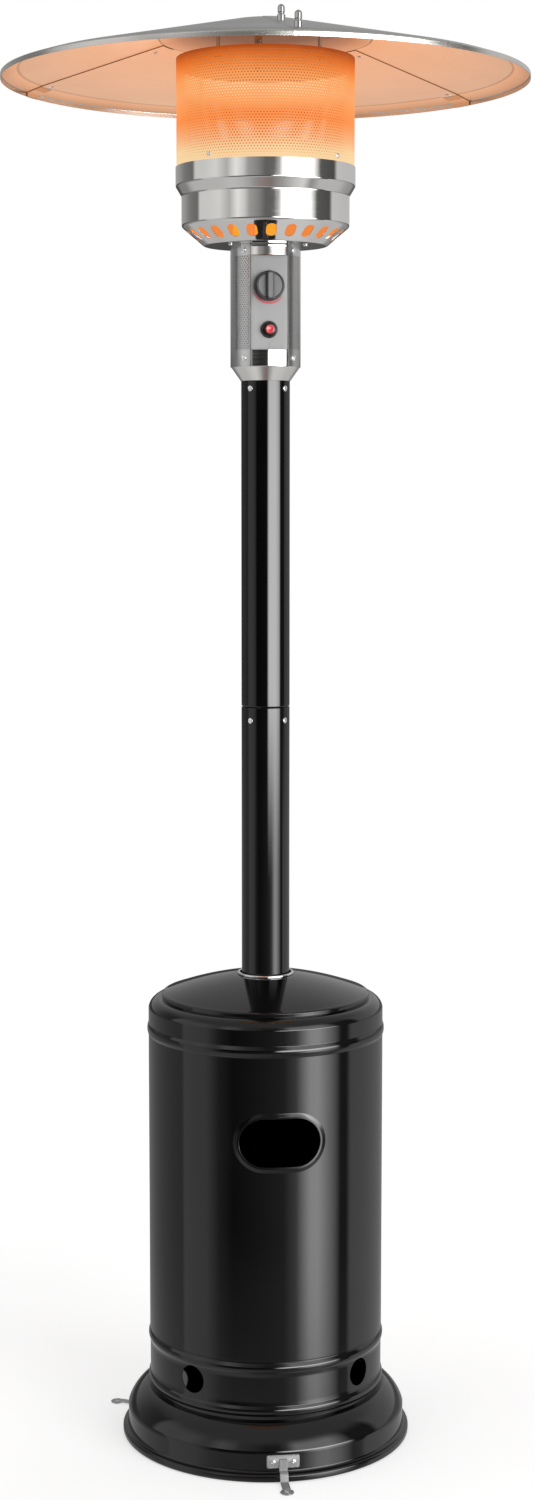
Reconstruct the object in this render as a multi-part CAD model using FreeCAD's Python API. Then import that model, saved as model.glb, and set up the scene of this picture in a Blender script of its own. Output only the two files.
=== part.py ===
import FreeCAD, Part
import math
import os

# Free-standing gas patio heater. Millimetres, +Z up, front at -Y.
# The origin is on the floor under the post's axis. Angles are degrees round
# the post, 0 at the front and positive towards +X.

# Base and vent ring
deck_height = 82.0
base_sheet = 1.5
base_rim_overhang = 44.5
base_wall_overhang = 35.5
base_rim_height = 13.0
base_rim_return = 8.0
base_wall_top = 54.0
deck_margin = 2.5
deck_drain_radius = 20.0
vent_ring_height = 94.0
vent_ring_inset = 0.5
vent_ring_sheet = 1.0
vent_ring_flange = 8.0
vent_hole_radius = 22.0
vent_hole_height = 52.5
vent_angles = (45, 135, 225, 315)
bead_half_width = 8.0
bead_rise = 1.6
bead_from_edge = 15.0
upper_bead_drop = 11.5
lip_height = 16.0
lip_clearance = 0.8

# Ground anchors
anchor_angles = {"front": 0, "right": 120, "left": 240}
anchor_plate_width = 51.0
anchor_plate_bottom = 20.4
anchor_plate_top = 41.3
anchor_sheet = 2.0
anchor_stem_width = 13.0
anchor_eye_radius = 10.5
anchor_hole_radius = 4.2
anchor_eye_offset = 38.0
anchor_screw_spacing = 32.0
anchor_screw_height = 31.0
anchor_screw_radius = 2.0
anchor_head_radius = 4.0
anchor_head_height = 2.4

# Tank cover
cover_radius = 187.5
cover_sheet = 0.9
cover_height = 523.0
cover_seat_gap = 0.3
cover_bead_drop = 33.0
shoulder_rise = 15.5
shoulder_inset = 21.9
shoulder_bow = 5.5
dome_step = 8.5
dome_step_inset = 2.6
dome_rise = 29.0
dome_bow = 3.0
dome_flat = 6.0
ring_clearance = 3.0
ring_wall = 2.0
ring_flange = 2.2
ring_height = 4.0
ring_skirt = 6.0
hand_hole_centre = 348.0
hand_hole_radius = 38.0
hand_hole_straight = 49.6
hand_rim_flange = 9.0
hand_rim_wall = 2.0
hand_rim_rise = 1.6
hand_rim_depth = 4.0

# Support legs and post bracket
leg_angles = {"right": 75, "back": 180, "left": 285}
leg_inset = 21.5
leg_radius = 8.0
leg_wall = 1.5
leg_pad_width = 44.0
leg_pad_depth = 20.0
leg_pad_sheet = 3.0
leg_bolt_spacing = 30.0
leg_bolt_radius = 3.0
leg_head_radius = 5.5
leg_head_height = 4.0
bracket_drop = 13.0
bracket_sheet = 4.0
bracket_hub_radius = 60.0
bracket_pipe_hole = 12.0
spigot_clearance = 0.2
spigot_wall = 1.7
spigot_height = 60.0
bracket_bolt_height = 30.0

# Post
post_radius = 38.0
post_wall = 1.5
lower_post_length = 495.0
joint_groove = 2.5
upper_post_length = 506.5
swage_length = 60.0
joint_screw_drop = 20.0
top_screw_drop = 12.0
post_screw_angles = (45, 135, 225, 315)
post_screw_radius = 2.5
post_head_radius = 4.5
post_head_height = 2.0
post_screw_reach = 6.0

# Gas line
pipe_radius = 5.0
inlet_hex_radius = 11.0
inlet_hex_height = 9.0
inlet_nose_radius = 8.0
inlet_nose_length = 16.0
inlet_drop = 50.0

# Control head
head_sheet = 1.2
cone_spigot_height = 45.0
cone_rise = 21.0
collar_radius = 53.5
lower_collar_height = 25.0
panel_width = 57.0
panel_height = 144.0
panel_return = 6.0
upper_collar_height = 16.8
neck_opening = 34.0
guard_sheet = 1.1
guard_back_gap = 0.8
guard_screw_angles = (45, 135, 225, 315)
guard_screw_inset = 9.0
guard_screw_radius = 2.0
guard_head_radius = 4.5
guard_head_height = 2.2

# Gas valve, knob and igniter
knob_height = 97.0
knob_radius = 23.5
knob_depth = 12.0
knob_taper = 1.6
knob_gap = 3.8
grip_width = 12.0
grip_depth = 7.0
spindle_radius = 4.0
spindle_clearance = 0.05
spindle_hole_radius = 6.5
valve_half_width = 13.0
valve_half_height = 17.0
valve_front = 30.0
valve_back = 8.0
valve_bore_depth = 14.0
spindle_reach = 8.0
manifold_half_width = 27.0
manifold_height = 12.0
spring_length = 10.0
spring_turns = 5
spring_radius = 5.6
spring_wire = 0.5
carrier_radius = 9.0
carrier_thickness = 3.0
tilt_switch_size = (20.0, 16.0, 26.0)
igniter_height = 31.0
bezel_radius = 13.8
bezel_front_radius = 11.2
bezel_depth = 6.0
igniter_body_radius = 10.5
igniter_body_depth = 34.0
button_radius = 8.6
button_clearance = 0.4
button_length = 19.0
button_proud = 7.5
button_stem_radius = 3.0

# Burner
cup_floor_radius = 95.5
cup_sheet = 1.2
vent_cone_rise = 29.2
lower_band_radius = 130.0
lower_band_height = 46.0
cup_step_rise = 15.0
upper_band_radius = 139.0
upper_band_height = 29.0
slot_count = 24
slot_phase = -2.4
slot_width = 16.5
slot_length = 26.0
slot_cut_depth = 10.0
cup_screw_circle = 67.0
cup_screw_angles = (60, 180, 300)
cup_screw_radius = 2.0
cup_head_radius = 3.6
jet_radius = 6.0
jet_height = 14.0
venturi_radius = 16.0
venturi_wall = 1.2
venturi_lift = 12.0
burner_lift = 88.0
burner_radius = 72.0
burner_wall_height = 18.0
burner_crown_rise = 6.0
burner_crown_opening = 27.0
port_count = 18
port_radius = 3.0
port_circle = 50.0
bracket_strap_width = 14.0
bracket_strap_sheet = 2.0
bracket_foot_length = 12.0
service_circle = 22.0
service_hole_radius = 4.5
pilot_tube_radius = 2.0
pilot_tip_radius = 4.0
probe_tip_radius = 3.0
probe_lead_radius = 1.2
ceramic_radius = 3.5
tip_length = 34.0

# Emitter screen and cap
screen_clearance = 0.3
screen_wall = 1.0
screen_height = 177.0
screen_lap = 13.0
screen_collar_height = 40.0
screen_collar_sheet = 1.5
screen_screw_rise = 8.0
screen_screw_angles = (45, 135, 225, 315)
screen_screw_radius = 2.0
screen_head_radius = 3.8
screen_head_height = 2.0
cap_skirt = 14.0
cap_sheet = 1.0
cap_centre_hole = 5.0

# Reflector
reflector_radius = 406.5
reflector_sheet = 0.8
reflector_lip = 7.5
brim_width = 26.5
brim_pitch = 17.5
reflector_pitch = 12.8
crown_lift = 53.5
crown_flat_radius = 60.0
panel_hole_radius = 40.0
crown_plate_radius = 163.6
crown_plate_sheet = 1.2
crown_centre_hole = 5.0
seam_angles = (0, 120, 240)
lap_half_width = 16.5
lap_tail = 5.0
panel_gap = 0.2
seam_bolt_inner = 217.5
seam_bolt_outer = 32.5
seam_bolt_radius = 2.5
seam_bolt_clearance = 0.2
seam_head_radius = 4.6
seam_head_height = 2.6
nut_radius = 6.2
nut_neck_radius = 5.3
inner_nut_height = 22.0
outer_nut_height = 22.0
nut_neck_height = 9.0
stud_circle = 90.0
stud_radius = 3.0
stud_angles = (60, 180, 300)
stud_nut_radius = 6.0
stud_nut_height = 5.0
stud_tail = 6.5

# Worked-out places
post_inner = post_radius - post_wall
spigot_radius = post_inner - spigot_clearance
cover_bottom = deck_height + vent_ring_height
shoulder_base = cover_bottom + cover_height
dome_base = shoulder_base + shoulder_rise
dome_radius = cover_radius - shoulder_inset
dome_top = dome_base + dome_step + dome_rise
bracket_top = shoulder_base - bracket_drop
bracket_base = bracket_top - bracket_sheet
leg_circle = cover_radius - leg_inset
lower_post_top = bracket_top + lower_post_length
upper_post_base = lower_post_top + joint_groove
post_top = upper_post_base + upper_post_length
collar_base = post_top + cone_rise
panel_base = collar_base + lower_collar_height
panel_top = panel_base + panel_height
cup_base = panel_top + upper_collar_height
panel_front = -math.sqrt(collar_radius ** 2 - (panel_width / 2) ** 2)
knob_z = panel_base + knob_height
igniter_z = panel_base + igniter_height
valve_top = knob_z + valve_half_height
cup_top = cup_base + vent_cone_rise + lower_band_height + cup_step_rise + upper_band_height
screen_radius = upper_band_radius - cup_sheet - screen_clearance
screen_base = cup_top - screen_lap
screen_top = screen_base + screen_height
burner_base = cup_base + burner_lift
burner_top = burner_base + burner_wall_height
crown_top = screen_top + crown_lift
brim_radius = reflector_radius - brim_width
brim_top = crown_top - (brim_radius - crown_flat_radius) * math.tan(math.radians(reflector_pitch))
rim_top = brim_top - brim_width * math.tan(math.radians(brim_pitch))

Up = FreeCAD.Vector(0, 0, 1)
Origin = FreeCAD.Vector(0, 0, 0)


def polygon_face(points, to_vector):
    """A flat face through points, each turned into a position by to_vector."""
    corners = [to_vector(a, b) for a, b in points]
    return Part.Face(Part.makePolygon(corners + corners[:1]))


def spun(points):
    """A closed outline of (radius, height) points turned once round the post's axis."""
    face = polygon_face(points, lambda r, z: FreeCAD.Vector(r, 0, z))
    return face.revolve(Origin, Up, 360)


def moved_side(points, gap):
    """A line of points moved to its left by gap, with mitred corners."""
    sides = []
    for (a, b), (c, d) in zip(points, points[1:]):
        run = math.hypot(c - a, d - b)
        sides.append(((b - d) / run, (c - a) / run))
    before = sides[:1] + sides
    after = sides + sides[-1:]
    moved = []
    for (a, b), (m, n), (p, q) in zip(points, before, after):
        reach = gap / (1 + m * p + n * q)
        moved.append((a + (m + p) * reach, b + (n + q) * reach))
    return moved


def sheet_outline(points, sheet):
    """The closed outline of a sheet whose outer side follows points."""
    return points + moved_side(points, sheet)[::-1]


def spun_sheet(points, sheet):
    """A spun shell whose outer side follows points, listed from the bottom up."""
    return spun(sheet_outline(points, sheet))


def bowed(start, end, rise, steps=6):
    """Points along the arc from start to end that stands off its chord by rise, on the right."""
    half = math.hypot(end[0] - start[0], end[1] - start[1]) / 2
    radius = (half ** 2 + rise ** 2) / (2 * rise)
    along = ((end[0] - start[0]) / (2 * half), (end[1] - start[1]) / (2 * half))
    middle = ((start[0] + end[0]) / 2, (start[1] + end[1]) / 2)
    sweep = math.asin(half / radius)
    points = []
    for step in range(steps + 1):
        turn = sweep * (2 * step / steps - 1)
        shift = radius * math.sin(turn)
        stand = radius * math.cos(turn) - radius + rise
        points.append((middle[0] + along[0] * shift + along[1] * stand,
                       middle[1] + along[1] * shift - along[0] * stand))
    return points


def bead(radius, height):
    """A round bead standing out of a wall, centred on height."""
    return bowed((radius, height - bead_half_width), (radius, height + bead_half_width), bead_rise)


def ring(inner, outer, base, top):
    return spun([(inner, base), (outer, base), (outer, top), (inner, top)])


def rod(radius, base, top, x=0.0, y=0.0):
    return Part.makeCylinder(radius, top - base, FreeCAD.Vector(x, y, base))


def block(x, y, z):
    """A box from three (low, high) pairs."""
    size = [high - low for low, high in (x, y, z)]
    return Part.makeBox(*size, FreeCAD.Vector(x[0], y[0], z[0]))


def turned(shape, angle):
    """A copy of a shape turned round the post's axis."""
    copy = shape.copy()
    copy.rotate(Origin, Up, angle)
    return copy


def front_rod(radius, near, far, height, x=0.0):
    """A rod along Y from y = near to y = far."""
    start = FreeCAD.Vector(x, min(near, far), height)
    return Part.makeCylinder(radius, abs(far - near), start, FreeCAD.Vector(0, 1, 0))


def radial_rods(radius, inner, outer, angles, height):
    """Rods that point out of the post's axis, one to an angle."""
    first = front_rod(radius, -inner, -outer, height)
    return [turned(first, angle) for angle in angles]


def joined(shapes):
    return shapes[0].multiFuse(shapes[1:]).removeSplitter()


def save(name, shapes):
    """Writes one node: a single solid, or a list of separate ones."""
    shape = Part.makeCompound(shapes) if isinstance(shapes, list) else shapes
    shape.exportStep("parts/" + name + ".step")
    print(name, len(shape.Solids), round(shape.Volume / 1000, 2), shape.isValid())


def screws(head_radius, head_height, shank_radius, surface, reach, angles, height):
    """Pan-head screws whose heads sit on a round surface."""
    heads = radial_rods(head_radius, surface, surface + head_height, angles, height)
    shanks = radial_rods(shank_radius, surface - reach, surface, angles, height)
    return [head.fuse(shank) for head, shank in zip(heads, shanks)]


# Base

def anchor_screw_angles():
    wall = cover_radius + base_wall_overhang
    side = math.degrees(math.asin(anchor_screw_spacing / 2 / wall))
    return [angle + turn for angle in anchor_angles.values() for turn in (-side, side)]


def base_pan():
    rim = cover_radius + base_rim_overhang
    wall = cover_radius + base_wall_overhang
    deck = cover_radius + deck_margin
    line = [(rim - base_rim_return, 0), (rim, 0), (rim, base_rim_height - 3),
            (rim - 3, base_rim_height), (wall + 2, base_rim_height),
            (wall, base_rim_height + 2)]
    line += bowed((wall, base_wall_top), (deck, deck_height), 4.0)
    line += [(deck_drain_radius, deck_height)]
    pan = spun_sheet(line, base_sheet)
    holes = radial_rods(anchor_screw_radius, wall - 5, wall + 5, anchor_screw_angles(),
                        anchor_screw_height)
    return pan.cut(Part.makeCompound(holes + leg_bolt_holes(deck_height)))


def vent_ring():
    outer = cover_radius - vent_ring_inset
    lip = cover_radius - cover_sheet - lip_clearance
    top = cover_bottom - cover_seat_gap
    line = [(outer - vent_ring_flange, deck_height), (outer, deck_height)]
    line += bead(outer, deck_height + bead_from_edge)
    line += bead(outer, top - upper_bead_drop)
    line += [(outer, top), (lip, top), (lip, top + lip_height)]
    holes = radial_rods(vent_hole_radius, outer - 20, outer + 20, vent_angles,
                        deck_height + vent_hole_height)
    return spun_sheet(line, vent_ring_sheet).cut(Part.makeCompound(holes))


def anchor_bracket(angle):
    wall = cover_radius + base_wall_overhang
    rim = cover_radius + base_rim_overhang
    half = anchor_plate_width / 2
    eye_centre = rim + anchor_eye_offset
    plate = ring(wall, wall + anchor_sheet, anchor_plate_bottom, anchor_plate_top)
    plate = plate.common(block((-half, half), (-rim, 0), (0, anchor_plate_top)))
    line = [(wall, anchor_plate_top - 4), (wall, base_rim_height + 3), (wall + 3, base_rim_height),
            (rim + 0.5, base_rim_height), (rim + 6, 0), (eye_centre, 0)]
    stem = polygon_face(sheet_outline(line, anchor_sheet),
                        lambda r, z: FreeCAD.Vector(-anchor_stem_width / 2, -r, z))
    stem = stem.extrude(FreeCAD.Vector(anchor_stem_width, 0, 0))
    eye = rod(anchor_eye_radius, 0, anchor_sheet, 0, -eye_centre)
    strap = joined([plate, stem, eye])
    hole = rod(anchor_hole_radius, -1, anchor_sheet + 1, 0, -eye_centre)
    side = math.degrees(math.asin(anchor_screw_spacing / 2 / wall))
    screw_holes = radial_rods(anchor_screw_radius, wall - 5, wall + 5, (-side, side),
                              anchor_screw_height)
    return turned(strap.cut(Part.makeCompound([hole] + screw_holes)), angle)


def anchor_screws():
    surface = cover_radius + base_wall_overhang + anchor_sheet
    return screws(anchor_head_radius, anchor_head_height, anchor_screw_radius, surface,
                  anchor_sheet + base_sheet + 3, anchor_screw_angles(), anchor_screw_height)


# Support legs and bracket

def leg_bolt_places():
    places = []
    for angle in leg_angles.values():
        turn = math.radians(angle)
        for side in (-leg_bolt_spacing / 2, leg_bolt_spacing / 2):
            x = leg_circle * math.sin(turn) + side * math.cos(turn)
            y = -leg_circle * math.cos(turn) + side * math.sin(turn)
            places.append((x, y))
    return places


def leg_bolt_holes(height):
    reach = base_sheet + leg_pad_sheet + bracket_sheet + 2
    return [rod(leg_bolt_radius, height - reach, height + reach, x, y)
            for x, y in leg_bolt_places()]


def leg_pad(base):
    half = leg_pad_width / 2
    depth = leg_pad_depth / 2
    return block((-half, half), (-leg_circle - depth, -leg_circle + depth),
                 (base, base + leg_pad_sheet))


def support_leg(angle):
    foot = leg_pad(deck_height)
    head = leg_pad(bracket_base - leg_pad_sheet)
    leg = rod(leg_radius, deck_height, bracket_base, 0, -leg_circle)
    leg = turned(joined([foot, head, leg]), angle)
    turn = math.radians(angle)
    bore = rod(leg_radius - leg_wall, deck_height - 1, bracket_base + 1,
               leg_circle * math.sin(turn), -leg_circle * math.cos(turn))
    holes = leg_bolt_holes(deck_height) + leg_bolt_holes(bracket_base)
    return leg.cut(Part.makeCompound([bore] + holes))


def leg_bolts():
    bolts = []
    foot = deck_height + leg_pad_sheet
    for x, y in leg_bolt_places():
        low_head = rod(leg_head_radius, foot, foot + leg_head_height, x, y)
        low_shank = rod(leg_bolt_radius, deck_height - base_sheet - 5, foot, x, y)
        high_head = rod(leg_head_radius, bracket_top, bracket_top + leg_head_height, x, y)
        high_shank = rod(leg_bolt_radius, bracket_base - leg_pad_sheet - 5, bracket_top, x, y)
        bolts += [low_head.fuse(low_shank), high_head.fuse(high_shank)]
    return bolts


def post_bracket():
    half = leg_pad_width / 2
    arm = block((-half, half), (-leg_circle - leg_pad_depth / 2, 0), (bracket_base, bracket_top))
    hub = rod(bracket_hub_radius, bracket_base, bracket_top)
    spigot = rod(spigot_radius, bracket_top, bracket_top + spigot_height)
    bracket = joined([hub, spigot] + [turned(arm, angle) for angle in leg_angles.values()])
    bore = rod(spigot_radius - spigot_wall, bracket_top, bracket_top + spigot_height + 1)
    pipe_hole = rod(bracket_pipe_hole, bracket_base - 1, bracket_top + 1)
    bolt_holes = post_screw_holes(bracket_top + bracket_bolt_height)
    return bracket.cut(Part.makeCompound([bore, pipe_hole] + leg_bolt_holes(bracket_base)
                                         + bolt_holes))


# Tank cover

def stadium(radius, inner, outer):
    """A long-hole prism along Y, from y = -outer to y = -inner, at the hand hole's height."""
    height = cover_bottom + hand_hole_centre
    half = hand_hole_straight / 2
    ends = [front_rod(radius, -inner, -outer, height, x) for x in (-half, half)]
    middle = block((-half, half), (-outer, -inner), (height - radius, height + radius))
    return joined(ends + [middle])


def cover_shell():
    top = shoulder_base
    line = [(cover_radius, cover_bottom)]
    line += bead(cover_radius, top - cover_bead_drop)
    line += bowed((cover_radius, top), (dome_radius, dome_base), shoulder_bow)
    shell = spun_sheet(line, cover_sheet)
    hole = stadium(hand_hole_radius + hand_rim_wall, cover_radius / 2, cover_radius + 10)
    return shell.cut(Part.makeCompound([hole, turned(hole, 180)]))


def hand_hole_rim(angle):
    outside = cover_radius + hand_rim_rise
    flange = ring(cover_radius, outside, cover_bottom, shoulder_base)
    flange = flange.common(stadium(hand_hole_radius + hand_rim_flange, cover_radius / 2, outside + 1))
    wall = ring(cover_radius - hand_rim_depth, outside, cover_bottom, shoulder_base)
    wall = wall.common(stadium(hand_hole_radius + hand_rim_wall, cover_radius / 2, outside + 1))
    opening = stadium(hand_hole_radius, cover_radius / 2, outside + 2)
    return turned(joined([flange, wall]).cut(opening), angle)


def cover_dome():
    step_radius = dome_radius - dome_step_inset
    step_top = dome_base + dome_step
    hole = post_radius + ring_clearance + ring_wall
    line = [(dome_radius, dome_base - 3), (dome_radius, step_top - 3)]
    line += bowed((dome_radius - 0.4, step_top - 1.5), (step_radius, step_top), 0.5, 2)
    line += bowed((step_radius - 4, step_top + 1), (hole + dome_flat, dome_top), dome_bow)
    line += [(hole, dome_top)]
    return spun_sheet(line, cover_sheet)


def cover_ring():
    bore = post_radius + ring_clearance
    outer = bore + ring_wall
    return spun([(bore, dome_top - ring_skirt), (outer, dome_top - ring_skirt), (outer, dome_top),
                 (outer + ring_flange, dome_top), (outer + ring_flange, dome_top + ring_height - 1),
                 (outer + ring_flange - 1, dome_top + ring_height), (bore, dome_top + ring_height)])


# Post

def post_screw_holes(height):
    return radial_rods(post_screw_radius, post_radius - 15, post_radius + 5, post_screw_angles,
                       height)


def post_screws(height):
    return screws(post_head_radius, post_head_height, post_screw_radius, post_radius,
                  post_screw_reach, post_screw_angles, height)


def lower_post():
    tube = ring(post_inner, post_radius, bracket_top, lower_post_top)
    holes = post_screw_holes(bracket_top + bracket_bolt_height)
    holes += post_screw_holes(lower_post_top - joint_screw_drop)
    return tube.cut(Part.makeCompound(holes))


def upper_post():
    line = [(spigot_radius, lower_post_top - swage_length), (spigot_radius, lower_post_top),
            (post_radius, upper_post_base), (post_radius, post_top)]
    holes = post_screw_holes(lower_post_top - joint_screw_drop)
    holes += post_screw_holes(post_top - top_screw_drop)
    return spun_sheet(line, post_wall).cut(Part.makeCompound(holes))


def gas_pipe():
    return rod(pipe_radius, bracket_base - inlet_drop, knob_z - valve_half_height)


def gas_inlet():
    seat = bracket_base - inlet_drop
    nut = Part.makePolygon([FreeCAD.Vector(inlet_hex_radius * math.cos(math.radians(60 * k)),
                                           inlet_hex_radius * math.sin(math.radians(60 * k)), seat)
                            for k in range(7)])
    body = Part.Face(nut).extrude(FreeCAD.Vector(0, 0, -inlet_hex_height))
    nose = rod(inlet_nose_radius, seat - inlet_hex_height - inlet_nose_length,
               seat - inlet_hex_height)
    bore = rod(pipe_radius - 1.5, seat - inlet_hex_height - inlet_nose_length - 1, seat - 2)
    return body.fuse(nose).cut(bore)


# Control head

def head_cone():
    line = [(spigot_radius, post_top - cone_spigot_height), (spigot_radius, post_top),
            (post_radius + 0.6, post_top), (collar_radius, collar_base), (collar_radius, panel_base)]
    holes = post_screw_holes(post_top - top_screw_drop) + guard_screw_holes()
    return spun_sheet(line, head_sheet).cut(Part.makeCompound(holes))


def head_neck():
    line = [(collar_radius, panel_top), (collar_radius, cup_base), (neck_opening, cup_base)]
    return spun_sheet(line, head_sheet).cut(Part.makeCompound(guard_screw_holes()))


def guard_screw_heights():
    return (collar_base + guard_screw_inset + 4, cup_base - guard_screw_inset)


def guard_screw_holes():
    return [hole for height in guard_screw_heights()
            for hole in radial_rods(guard_screw_radius, collar_radius - 9, collar_radius + 5,
                                    guard_screw_angles, height)]


def guard_screws():
    surface = collar_radius + guard_sheet
    return [screw for height in guard_screw_heights()
            for screw in screws(guard_head_radius, guard_head_height, guard_screw_radius, surface,
                                5, guard_screw_angles, height)]


def control_panel():
    half = panel_width / 2
    plate = block((-half, half), (panel_front, panel_front + panel_return), (panel_base, panel_top))
    hollow = block((-half + head_sheet, half - head_sheet), (panel_front + head_sheet, 0),
                   (panel_base - 1, panel_top + 1))
    spindle_hole = front_rod(spindle_hole_radius, panel_front - 1, 0, knob_z)
    igniter_hole = front_rod(igniter_body_radius, panel_front - 1, 0, igniter_z)
    return plate.cut(Part.makeCompound([hollow, spindle_hole, igniter_hole]))


def housing_guard(side):
    outer = collar_radius + guard_sheet
    wrap = ring(collar_radius, outer, collar_base, cup_base)
    keep = block((guard_back_gap / 2, outer + 1), (panel_front, outer + 1), (collar_base, cup_base))
    guard = wrap.common(keep).cut(Part.makeCompound(guard_screw_holes()))
    return guard if side == "right" else guard.mirror(Origin, FreeCAD.Vector(1, 0, 0))


def valve_body():
    body = block((-valve_half_width, valve_half_width), (-valve_front, valve_back),
                 (knob_z - valve_half_height, valve_top))
    manifold = block((-manifold_half_width, manifold_half_width), (-valve_back, valve_back),
                     (valve_top - manifold_height, valve_top))
    outlet = rod(jet_radius, valve_top, cup_base + cup_sheet)
    bore = front_rod(spindle_radius + spindle_clearance, -valve_front - 1,
                     -valve_front + valve_bore_depth, knob_z)
    return joined([body, manifold, outlet]).cut(bore)


def valve_spindle():
    front = panel_front - knob_gap - knob_depth + 3
    return front_rod(spindle_radius, -valve_front + spindle_reach, front, knob_z)


def spring_at(front, height, coil_radius, length):
    """A coil spring along Y whose front end is at y = front."""
    pitch = length / spring_turns
    path = Part.makeHelix(pitch, length - 2 * spring_wire, coil_radius)
    wire = Part.Circle(FreeCAD.Vector(coil_radius, 0, 0), FreeCAD.Vector(0, 1, 0), spring_wire)
    section = Part.Wire(wire.toShape())
    coil = Part.Wire(path.Edges).makePipeShell([section], True, True)
    coil.rotate(Origin, FreeCAD.Vector(1, 0, 0), -90)
    coil.translate(FreeCAD.Vector(0, front + spring_wire, height))
    return coil


def spindle_collar():
    back = -valve_front - spring_length
    body = front_rod(carrier_radius, back, back - carrier_thickness, knob_z)
    bore = front_rod(spindle_radius + spindle_clearance, back + 1, back - carrier_thickness - 1,
                     knob_z)
    return body.cut(bore)


def control_knob():
    back = panel_front - knob_gap
    face = back - knob_depth
    skirt = Part.makeCone(knob_radius, knob_radius - knob_taper, knob_depth,
                          FreeCAD.Vector(0, back, knob_z), FreeCAD.Vector(0, -1, 0))
    reach = knob_radius - knob_taper
    grip = block((-grip_width / 2, grip_width / 2), (face - grip_depth, face + 1),
                 (knob_z - reach, knob_z + reach))
    grip = grip.common(front_rod(reach, face - grip_depth, face + 1, knob_z))
    bore = front_rod(spindle_radius, back + 1, face + 3, knob_z)
    return joined([skirt, grip]).cut(bore)


def igniter_body():
    bezel = Part.makeCone(bezel_radius, bezel_front_radius, bezel_depth,
                          FreeCAD.Vector(0, panel_front, igniter_z), FreeCAD.Vector(0, -1, 0))
    body = front_rod(igniter_body_radius, panel_front + igniter_body_depth, panel_front, igniter_z)
    lug = block((0, service_circle), (-14, -10), (igniter_z - 2, igniter_z + 2))
    bore = front_rod(button_radius + button_clearance, panel_front - bezel_depth - 1,
                     panel_front + igniter_body_depth - 4, igniter_z)
    return joined([bezel, body]).cut(bore).fuse(lug.cut(front_rod(igniter_body_radius - 1, -30, 0,
                                                                  igniter_z)))


def igniter_button():
    front = panel_front - bezel_depth - button_proud
    back = front + button_length
    stem_end = panel_front + igniter_body_depth - 11
    cap = front_rod(button_radius, front, back, igniter_z)
    return cap.fuse(front_rod(button_stem_radius, back, stem_end, igniter_z))


def igniter_spring():
    end = panel_front + igniter_body_depth - 4
    start = panel_front - bezel_depth - button_proud + button_length
    return spring_at(start, igniter_z, spring_radius, end - start)


def tilt_switch():
    width, depth, height = tilt_switch_size
    return block((-width / 2, width / 2), (valve_back, valve_back + depth),
                 (knob_z - height / 2, knob_z + height / 2))


# Burner

def cup_line():
    cone_top = cup_base + vent_cone_rise
    band_top = cone_top + lower_band_height
    return [(neck_opening, cup_base), (cup_floor_radius, cup_base), (lower_band_radius, cone_top),
            (lower_band_radius, band_top), (upper_band_radius, band_top + cup_step_rise),
            (upper_band_radius, cup_top)]


def cup_slots():
    """Long round-ended cutters, square to the vent cone, spaced round it."""
    half = (slot_length - slot_width) / 2
    radius = slot_width / 2
    ends = [rod(radius, -slot_cut_depth, slot_cut_depth, 0, y) for y in (-half, half)]
    cutter = joined(ends + [block((-radius, radius), (-half, half), (-slot_cut_depth, slot_cut_depth))])
    run = lower_band_radius - cup_floor_radius
    slope = math.degrees(math.atan2(vent_cone_rise, run))
    cutter.rotate(Origin, FreeCAD.Vector(1, 0, 0), -slope)
    cutter.translate(FreeCAD.Vector(0, -(cup_floor_radius + run / 2), cup_base + vent_cone_rise / 2))
    return [turned(cutter, slot_phase + 360 * k / slot_count) for k in range(slot_count)]


def cup_screw_places():
    turns = [math.radians(angle) for angle in cup_screw_angles]
    return [(cup_screw_circle * math.sin(turn), -cup_screw_circle * math.cos(turn))
            for turn in turns]


def burner_cup():
    holes = [rod(cup_screw_radius, cup_base - 5, cup_base + 5, x, y) for x, y in cup_screw_places()]
    return spun_sheet(cup_line(), cup_sheet).cut(Part.makeCompound(cup_slots() + holes))


def cup_screws():
    reach = cup_sheet + bracket_strap_sheet + 3
    return [rod(cup_head_radius, cup_base - 2, cup_base, x, y).fuse(
            rod(cup_screw_radius, cup_base, cup_base + reach, x, y)) for x, y in cup_screw_places()]


def gas_jet():
    base = cup_base + cup_sheet
    body = rod(jet_radius, base, base + jet_height - 6)
    tip = Part.makeCone(jet_radius, jet_radius / 3, 6, FreeCAD.Vector(0, 0, base + jet_height - 6))
    return body.fuse(tip)


def venturi_tube():
    base = cup_base + cup_sheet + venturi_lift
    return ring(venturi_radius - venturi_wall, venturi_radius, base, burner_base)


def service_places():
    """Where the pilot tube, the thermocouple and the spark lead rise beside the venturi."""
    return {"pilot": (service_circle, 0), "probe": (-service_circle, 0), "spark": (20, -12)}


def service_holes(base, top):
    return [rod(service_hole_radius, base, top, x, y) for x, y in service_places().values()]


def burner_bracket():
    floor = cup_base + cup_sheet
    shelf = burner_base - bracket_strap_sheet
    half = bracket_strap_width / 2
    outer = cup_screw_circle + 8
    parts = [ring(venturi_radius, burner_radius - 4, shelf, burner_base)]
    foot_end = bracket_foot_length - cup_screw_circle
    foot = block((-half, half), (-outer, foot_end), (floor, floor + bracket_strap_sheet))
    strap = block((-half, half), (foot_end - bracket_strap_sheet, foot_end), (floor, burner_base))
    parts += [turned(piece, angle) for angle in cup_screw_angles for piece in (foot, strap)]
    holes = [rod(cup_screw_radius, floor - 1, floor + 5, x, y) for x, y in cup_screw_places()]
    return joined(parts).cut(Part.makeCompound(holes + service_holes(shelf - 1, burner_base + 1)))


def burner_head():
    line = [(venturi_radius, burner_base), (burner_radius, burner_base), (burner_radius, burner_top),
            (burner_crown_opening, burner_top + burner_crown_rise)]
    ports = [turned(rod(port_radius, burner_base + 5, burner_top + 15, 0, -port_circle),
                    360 * k / port_count) for k in range(port_count)]
    holes = service_holes(burner_base - 1, burner_base + 5)
    return spun_sheet(line, cup_sheet).cut(Part.makeCompound(ports + holes))


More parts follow.
